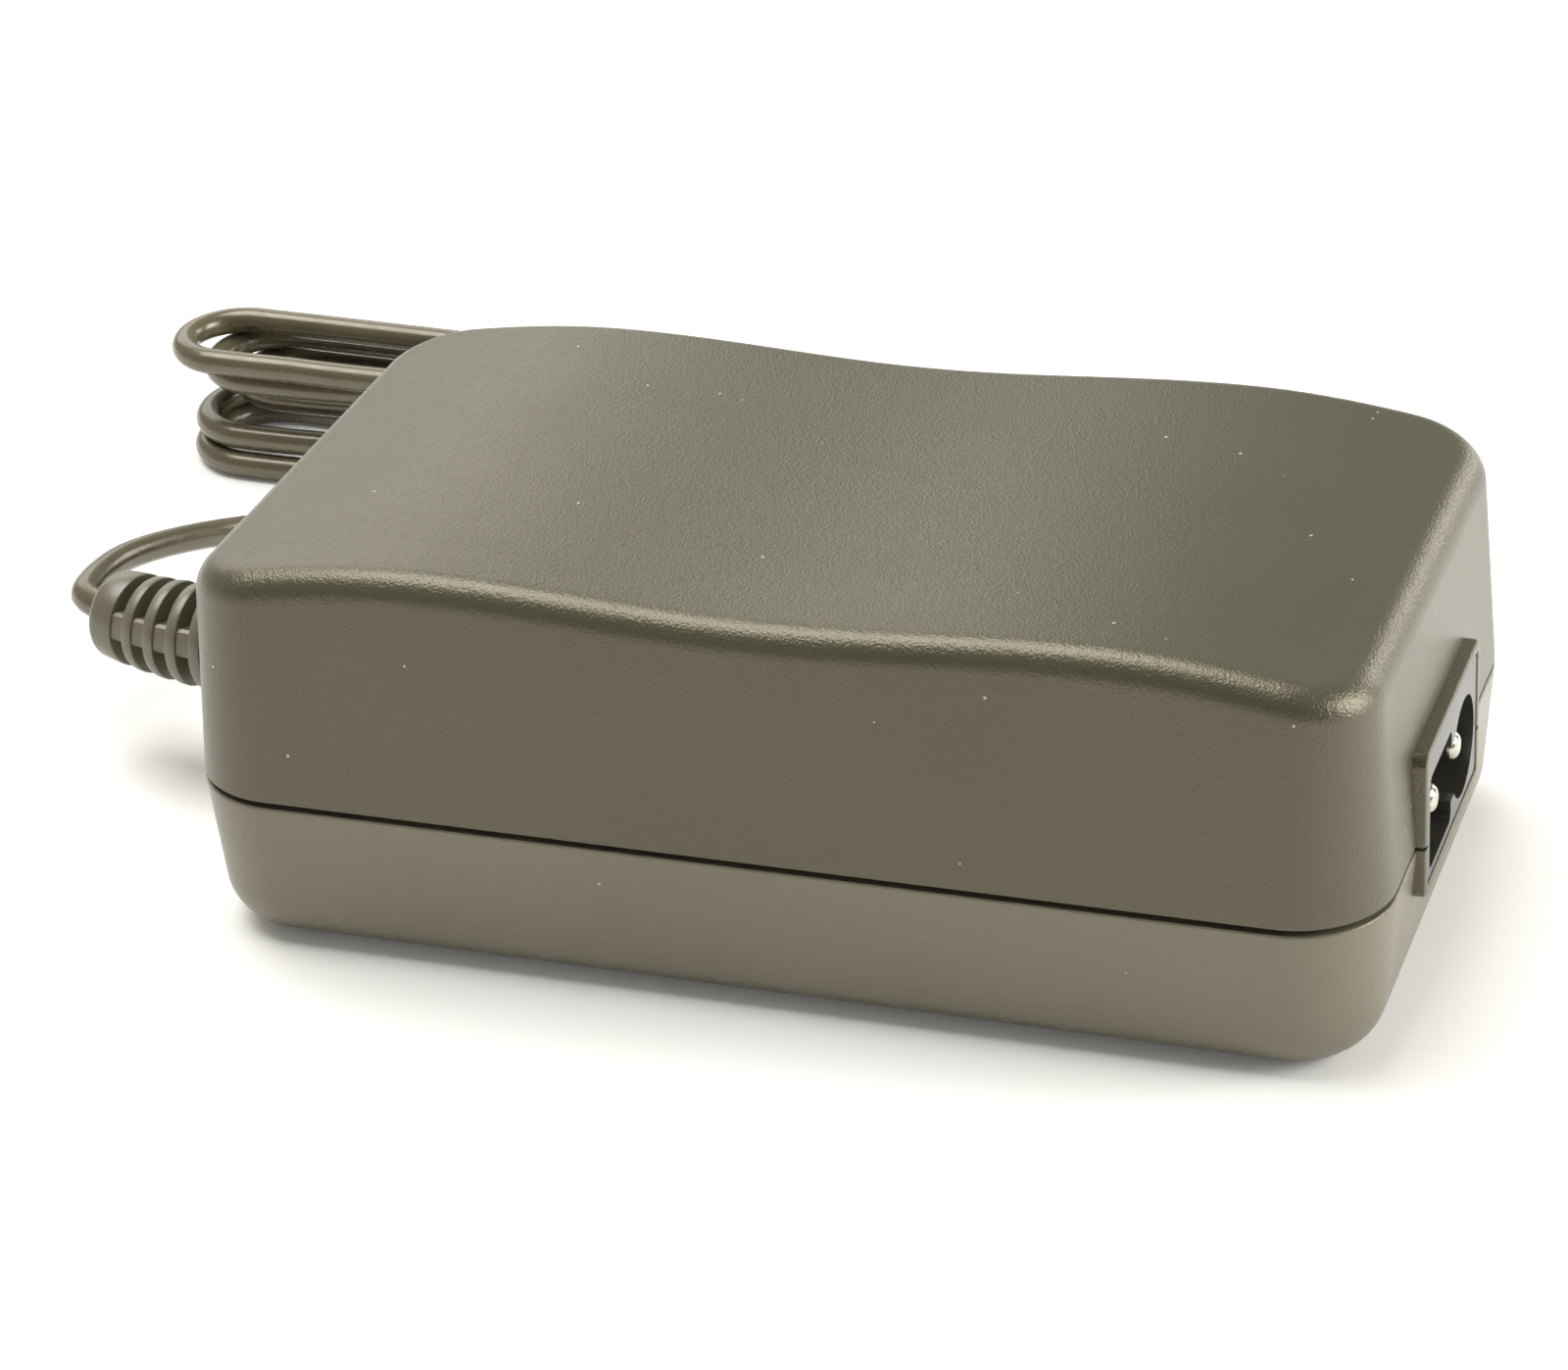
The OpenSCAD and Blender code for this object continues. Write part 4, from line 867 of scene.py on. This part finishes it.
def build_lead(s, material, strap):
    """The DC lead, laid in its hank from the strain relief to the plug, and the tie round the hank.
    It comes after build_relief, whose sleeve it looks up."""
    route = lead_route(s)
    cord = tube("dc_lead", route, mm(s.cord_d), s.cord_sides, material)
    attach(cord, ROOT)
    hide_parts("dc_cord_lead", "dc_cord_hank", "dc_cord_tail")
    tie = build_tie(s, strap)
    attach(tie, ROOT)
    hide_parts("hank_tie")
    on_it = [bpy.data.objects["strain_relief_sleeve"], tie]
    on_it += [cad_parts[n] for n in ("dc_cord_gripped", "plug_grip", "plug_barrel",
                                          "plug_insulator", "plug_contact")]


# ---------------------------------------------------------------- other pieces

def paint_nodes(table):
    """Gives each CAD node in table {node: material} its one material and smooth shading."""
    for name, material in table.items():
        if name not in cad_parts:
            raise RuntimeError(f"the frame has no node {name}")
        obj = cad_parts[name]
        obj.data.materials.clear()
        obj.data.materials.append(material)
        smooth(obj, 30)


def inner_materials(s):
    """Materials of the pieces inside the housing and on the plug, by CAD node."""
    # Plated contacts: bright, warm mirrors with a slightly brushed highlight.
    nickel = metal("steel_nickel_plated", ("b9b6ab", "cfccc2"), 0.22)
    brass = metal("brass_plated_contact", ("a88648", "c4a366"), 0.25)
    # Heatsinks and screws: greyer and more blurred.
    alloy = metal("aluminium_mill_finish", ("b3b5b6", "c9cbcc"), 0.38, 0.6)
    zinc = metal("steel_zinc_plated", ("a7a7a2", "bfbfba"), 0.3)
    # Packages and cores: near black, from semi matt (epoxy) to quite matt and grainy (ferrite).
    epoxy = plastic("epoxy_moulded_package", "151515", "1c1c1b", (0.4, 0.5), 0.3, 0.01)
    # Inlet: smoother than the shells, so that its face catches more of the light at a slant.
    inlet = plastic("pbt_inlet_moulding", "32312b", "3b3a33", (0.28, 0.34), 0.3, 0.01, specular=0.9)
    ferrite = plastic("ferrite_sintered", "2a2a2c", "353537", (0.5, 0.65), 0.25, 0.03, 4)
    grip = relief_material(s.relief_colour)
    # Film box, sheet, bobbin and tape: their usual colours, semi gloss but for the matt sheet.
    film = plastic("film_capacitor_box", "b08a1c", "c29b2b", (0.35, 0.45), 0.4, 0.01)
    fibre = plastic("fibre_insulating_sheet", "b9b49a", "c9c4ab", (0.6, 0.75), 0.5, 0.02)
    phenolic = plastic("phenolic_bobbin", "4a1e10", "5a2717", (0.4, 0.5), 0.4, 0.02)
    tape = plastic("polyester_winding_tape", "b79a1e", "c9ac2c", (0.2, 0.3), 2.0, 0.02)
    # Sleeves, lacquers and wire insulation: glossy skins with a long soft highlight.
    return {
        "inlet_body": inlet, "inlet_pin_line": nickel, "inlet_pin_neutral": nickel,
        "plug_grip": grip, "plug_barrel": nickel, "plug_insulator": inlet, "plug_contact": brass,
        "dc_cord_gripped": grip, "circuit_board": laminate_material(), "insulating_sheet": fibre,
        "inlet_wire_line": plastic("pvc_wire_brown", "3d1d0e", "4a2413", (0.3, 0.4), 1, 0.01),
        "inlet_wire_neutral": plastic("pvc_wire_blue", "183a75", "1f4789", (0.3, 0.4), 1, 0.01),
        "fuse": epoxy,
        "thermistor": plastic("thermistor_lacquer", "12301c", "183c24", (0.25, 0.35), 1, 0.03),
        "x_capacitor": film, "choke_core": ferrite, "choke_windings": wound_material(),
        "bridge_rectifier": epoxy,
        "bulk_capacitor": plastic("sleeve_shrunk_black", "15181f", "1c2028", (0.15, 0.25), 3, 0.01),
        "transformer_core": ferrite, "transformer_bobbin": phenolic, "transformer_winding": tape,
        "primary_heatsink": alloy, "secondary_heatsink": alloy, "switching_transistor": epoxy,
        "output_rectifier": epoxy, "transistor_screws": zinc,
        "output_capacitors": plastic("sleeve_shrunk_green", "10351f", "164428", (0.15, 0.25),
                                     3, 0.01),
        "output_choke": ferrite,
        "y_capacitor": plastic("disc_lacquer_blue", "164a8a", "1c579d", (0.2, 0.3), 1, 0.03),
        "optocoupler": epoxy, "controller_chip": epoxy,
        "output_wire_positive": plastic("pvc_wire_red", "7d1414", "941b1b", (0.3, 0.4), 1, 0.01),
        "output_wire_negative": plastic("pvc_wire_black", "121212", "1b1b1b", (0.3, 0.4), 1, 0.01),
    }


# ---------------------------------------------------------------- stage

def build_camera():
    """The camera, from its yaw from +Y toward +X, its pitch above the level and its roll."""
    yaw, pitch, roll = (math.radians(a) for a in (CAMERA_YAW, CAMERA_PITCH, CAMERA_ROLL))
    ahead = Vector((math.sin(yaw) * math.cos(pitch), math.cos(yaw) * math.cos(pitch),
                    math.sin(pitch)))
    right = Vector((math.cos(yaw), -math.sin(yaw), 0))
    up = right.cross(ahead)
    r = math.cos(roll) * right + math.sin(roll) * up
    u = -math.sin(roll) * right + math.cos(roll) * up
    data = bpy.data.cameras.new("front_camera")
    data.lens, data.sensor_width = FOCAL_PX * SENSOR / FRAME_PX, SENSOR
    data.clip_start = 0.01
    camera = bpy.data.objects.new("front_camera", data)
    bpy.context.scene.collection.objects.link(camera)
    turn = Matrix((r, u, -ahead)).transposed().to_4x4()
    camera.matrix_world = Matrix.Translation(CAMERA_AT) @ turn
    bpy.context.scene.camera = camera


def area_light(name, at, toward, size, power, tint="fffefa"):
    """A soft box at a place, turned toward another, in metres and watts."""
    data = bpy.data.lights.new(name, "AREA")
    data.shape, data.size, data.size_y = "RECTANGLE", size[0], size[1]
    data.energy = power
    data.color = srgb(tint)[:3]
    obj = bpy.data.objects.new(name, data)
    obj.location = at
    obj.rotation_euler = (Vector(toward) - Vector(at)).to_track_quat("-Z", "Y").to_euler()
    bpy.context.scene.collection.objects.link(obj)


def build_world():
    """Light tent, bright to the left of the adapter and behind it, and dim to its right."""
    world = bpy.data.worlds.new("light_tent")
    world.use_nodes = True
    tree = world.node_tree
    tree.nodes.clear()
    way = add_node(tree, "ShaderNodeTexCoord").outputs["Generated"]
    toward = add_node(tree, "ShaderNodeVectorMath", {0: way, 1: (-0.6, 0.3, 0.0)},
                      operation="DOT_PRODUCT").outputs["Value"]
    share = add_node(tree, "ShaderNodeMath", {0: toward, 1: 0.5}, operation="ADD")
    tint = add_node(tree, "ShaderNodeValToRGB", {"Fac": share},
                    [(0.0, srgb("4b4a47")), (1.0, srgb("bcb9b1"))])
    cloth = add_node(tree, "ShaderNodeBackground", {"Color": tint})
    add_node(tree, "ShaderNodeOutputWorld", {"Surface": cloth})
    bpy.context.scene.world = world


def build_stage():
    """Camera, lights and a white paper floor."""
    build_camera()
    scene = bpy.context.scene
    scene.view_settings.view_transform = "Standard"
    build_world()
    centre = (0, 0.01, 0.015)
    area_light("overhead_soft_box", (-0.28, 0.05, 0.9), (-0.02, 0, 0.03), (0.64, 0.72), 8.6)
    area_light("soft_box_behind_left", (-0.526, 0.673, 0.416), centre, (0.6, 0.45), 1.3)
    area_light("soft_box_right", (0.7, 0.12, 0.3), centre, (0.5, 0.4), 5.5)
    area_light("soft_box_behind_right", (0.364, 0.685, 0.19), centre, (0.3, 0.25), 1.0)
    half = 3.0
    floor = mesh_piece("paper_floor", [Vector(p) for p in (
        (-half, -half, 0), (half, -half, 0), (half, half, 0), (-half, half, 0))],
        [(0, 1, 2, 3)], floor_material())


# ---------------------------------------------------------------- add-on

class ADAPTER_OT_stage(bpy.types.Operator):
    """Place the camera, the lights and the paper floor"""
    bl_idname = "adapter.stage"
    bl_label = "Stage"

    def execute(self, context):
        build_stage()
        return {"FINISHED"}


class ADAPTER_OT_lead(bpy.types.Operator):
    """Lay the DC lead in its hank and tie it, once the strain relief is built"""
    bl_idname = "adapter.lead"
    bl_label = "Lead"

    def execute(self, context):
        s = context.scene.adapter
        build_lead(s, cord_material(s.cord_colour), strap_material())
        return {"FINISHED"}


class ADAPTER_OT_housing(bpy.types.Operator):
    """Loft the two shells and the inlet's bezel"""
    bl_idname = "adapter.housing"
    bl_label = "Housing"

    def execute(self, context):
        s = context.scene.adapter
        build_housing(s)
        return {"FINISHED"}


class ADAPTER_OT_relief(bpy.types.Operator):
    """Build the slotted strain relief"""
    bl_idname = "adapter.relief"
    bl_label = "Strain relief"

    def execute(self, context):
        s = context.scene.adapter
        build_relief(s, relief_material(s.relief_colour))
        return {"FINISHED"}


class ADAPTER_OT_inner(bpy.types.Operator):
    """Give the inlet, the plug and the pieces inside their materials"""
    bl_idname = "adapter.inner"
    bl_label = "Inlet, plug and inner pieces"

    def execute(self, context):
        s = context.scene.adapter
        paint_nodes(inner_materials(s))
        return {"FINISHED"}


OPERATORS = (ADAPTER_OT_stage, ADAPTER_OT_relief, ADAPTER_OT_lead, ADAPTER_OT_housing,
             ADAPTER_OT_inner)


class ADAPTER_PT_panel(bpy.types.Panel):
    """Settings and build steps of the power adapter"""
    bl_idname = "ADAPTER_PT_panel"
    bl_label = "Laptop Power Adapter"
    bl_space_type = "VIEW_3D"
    bl_region_type = "UI"
    bl_category = "Adapter"

    def draw(self, context):
        column = self.layout.column()
        for name in AdapterSettings.__annotations__:
            column.prop(context.scene.adapter, name)
        for op in OPERATORS:
            column.operator(op.bl_idname)


def register():
    for cls in (AdapterSettings, *OPERATORS, ADAPTER_PT_panel):
        bpy.utils.register_class(cls)
    bpy.types.Scene.adapter = PointerProperty(type=AdapterSettings)


def unregister():
    del bpy.types.Scene.adapter
    for cls in reversed((AdapterSettings, *OPERATORS, ADAPTER_PT_panel)):
        bpy.utils.unregister_class(cls)


def main():
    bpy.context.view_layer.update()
    register()
    for step in ("stage", "relief", "lead", "housing", "inner"):
        getattr(bpy.ops.adapter, step)()


if __name__ == "__main__":
    main()
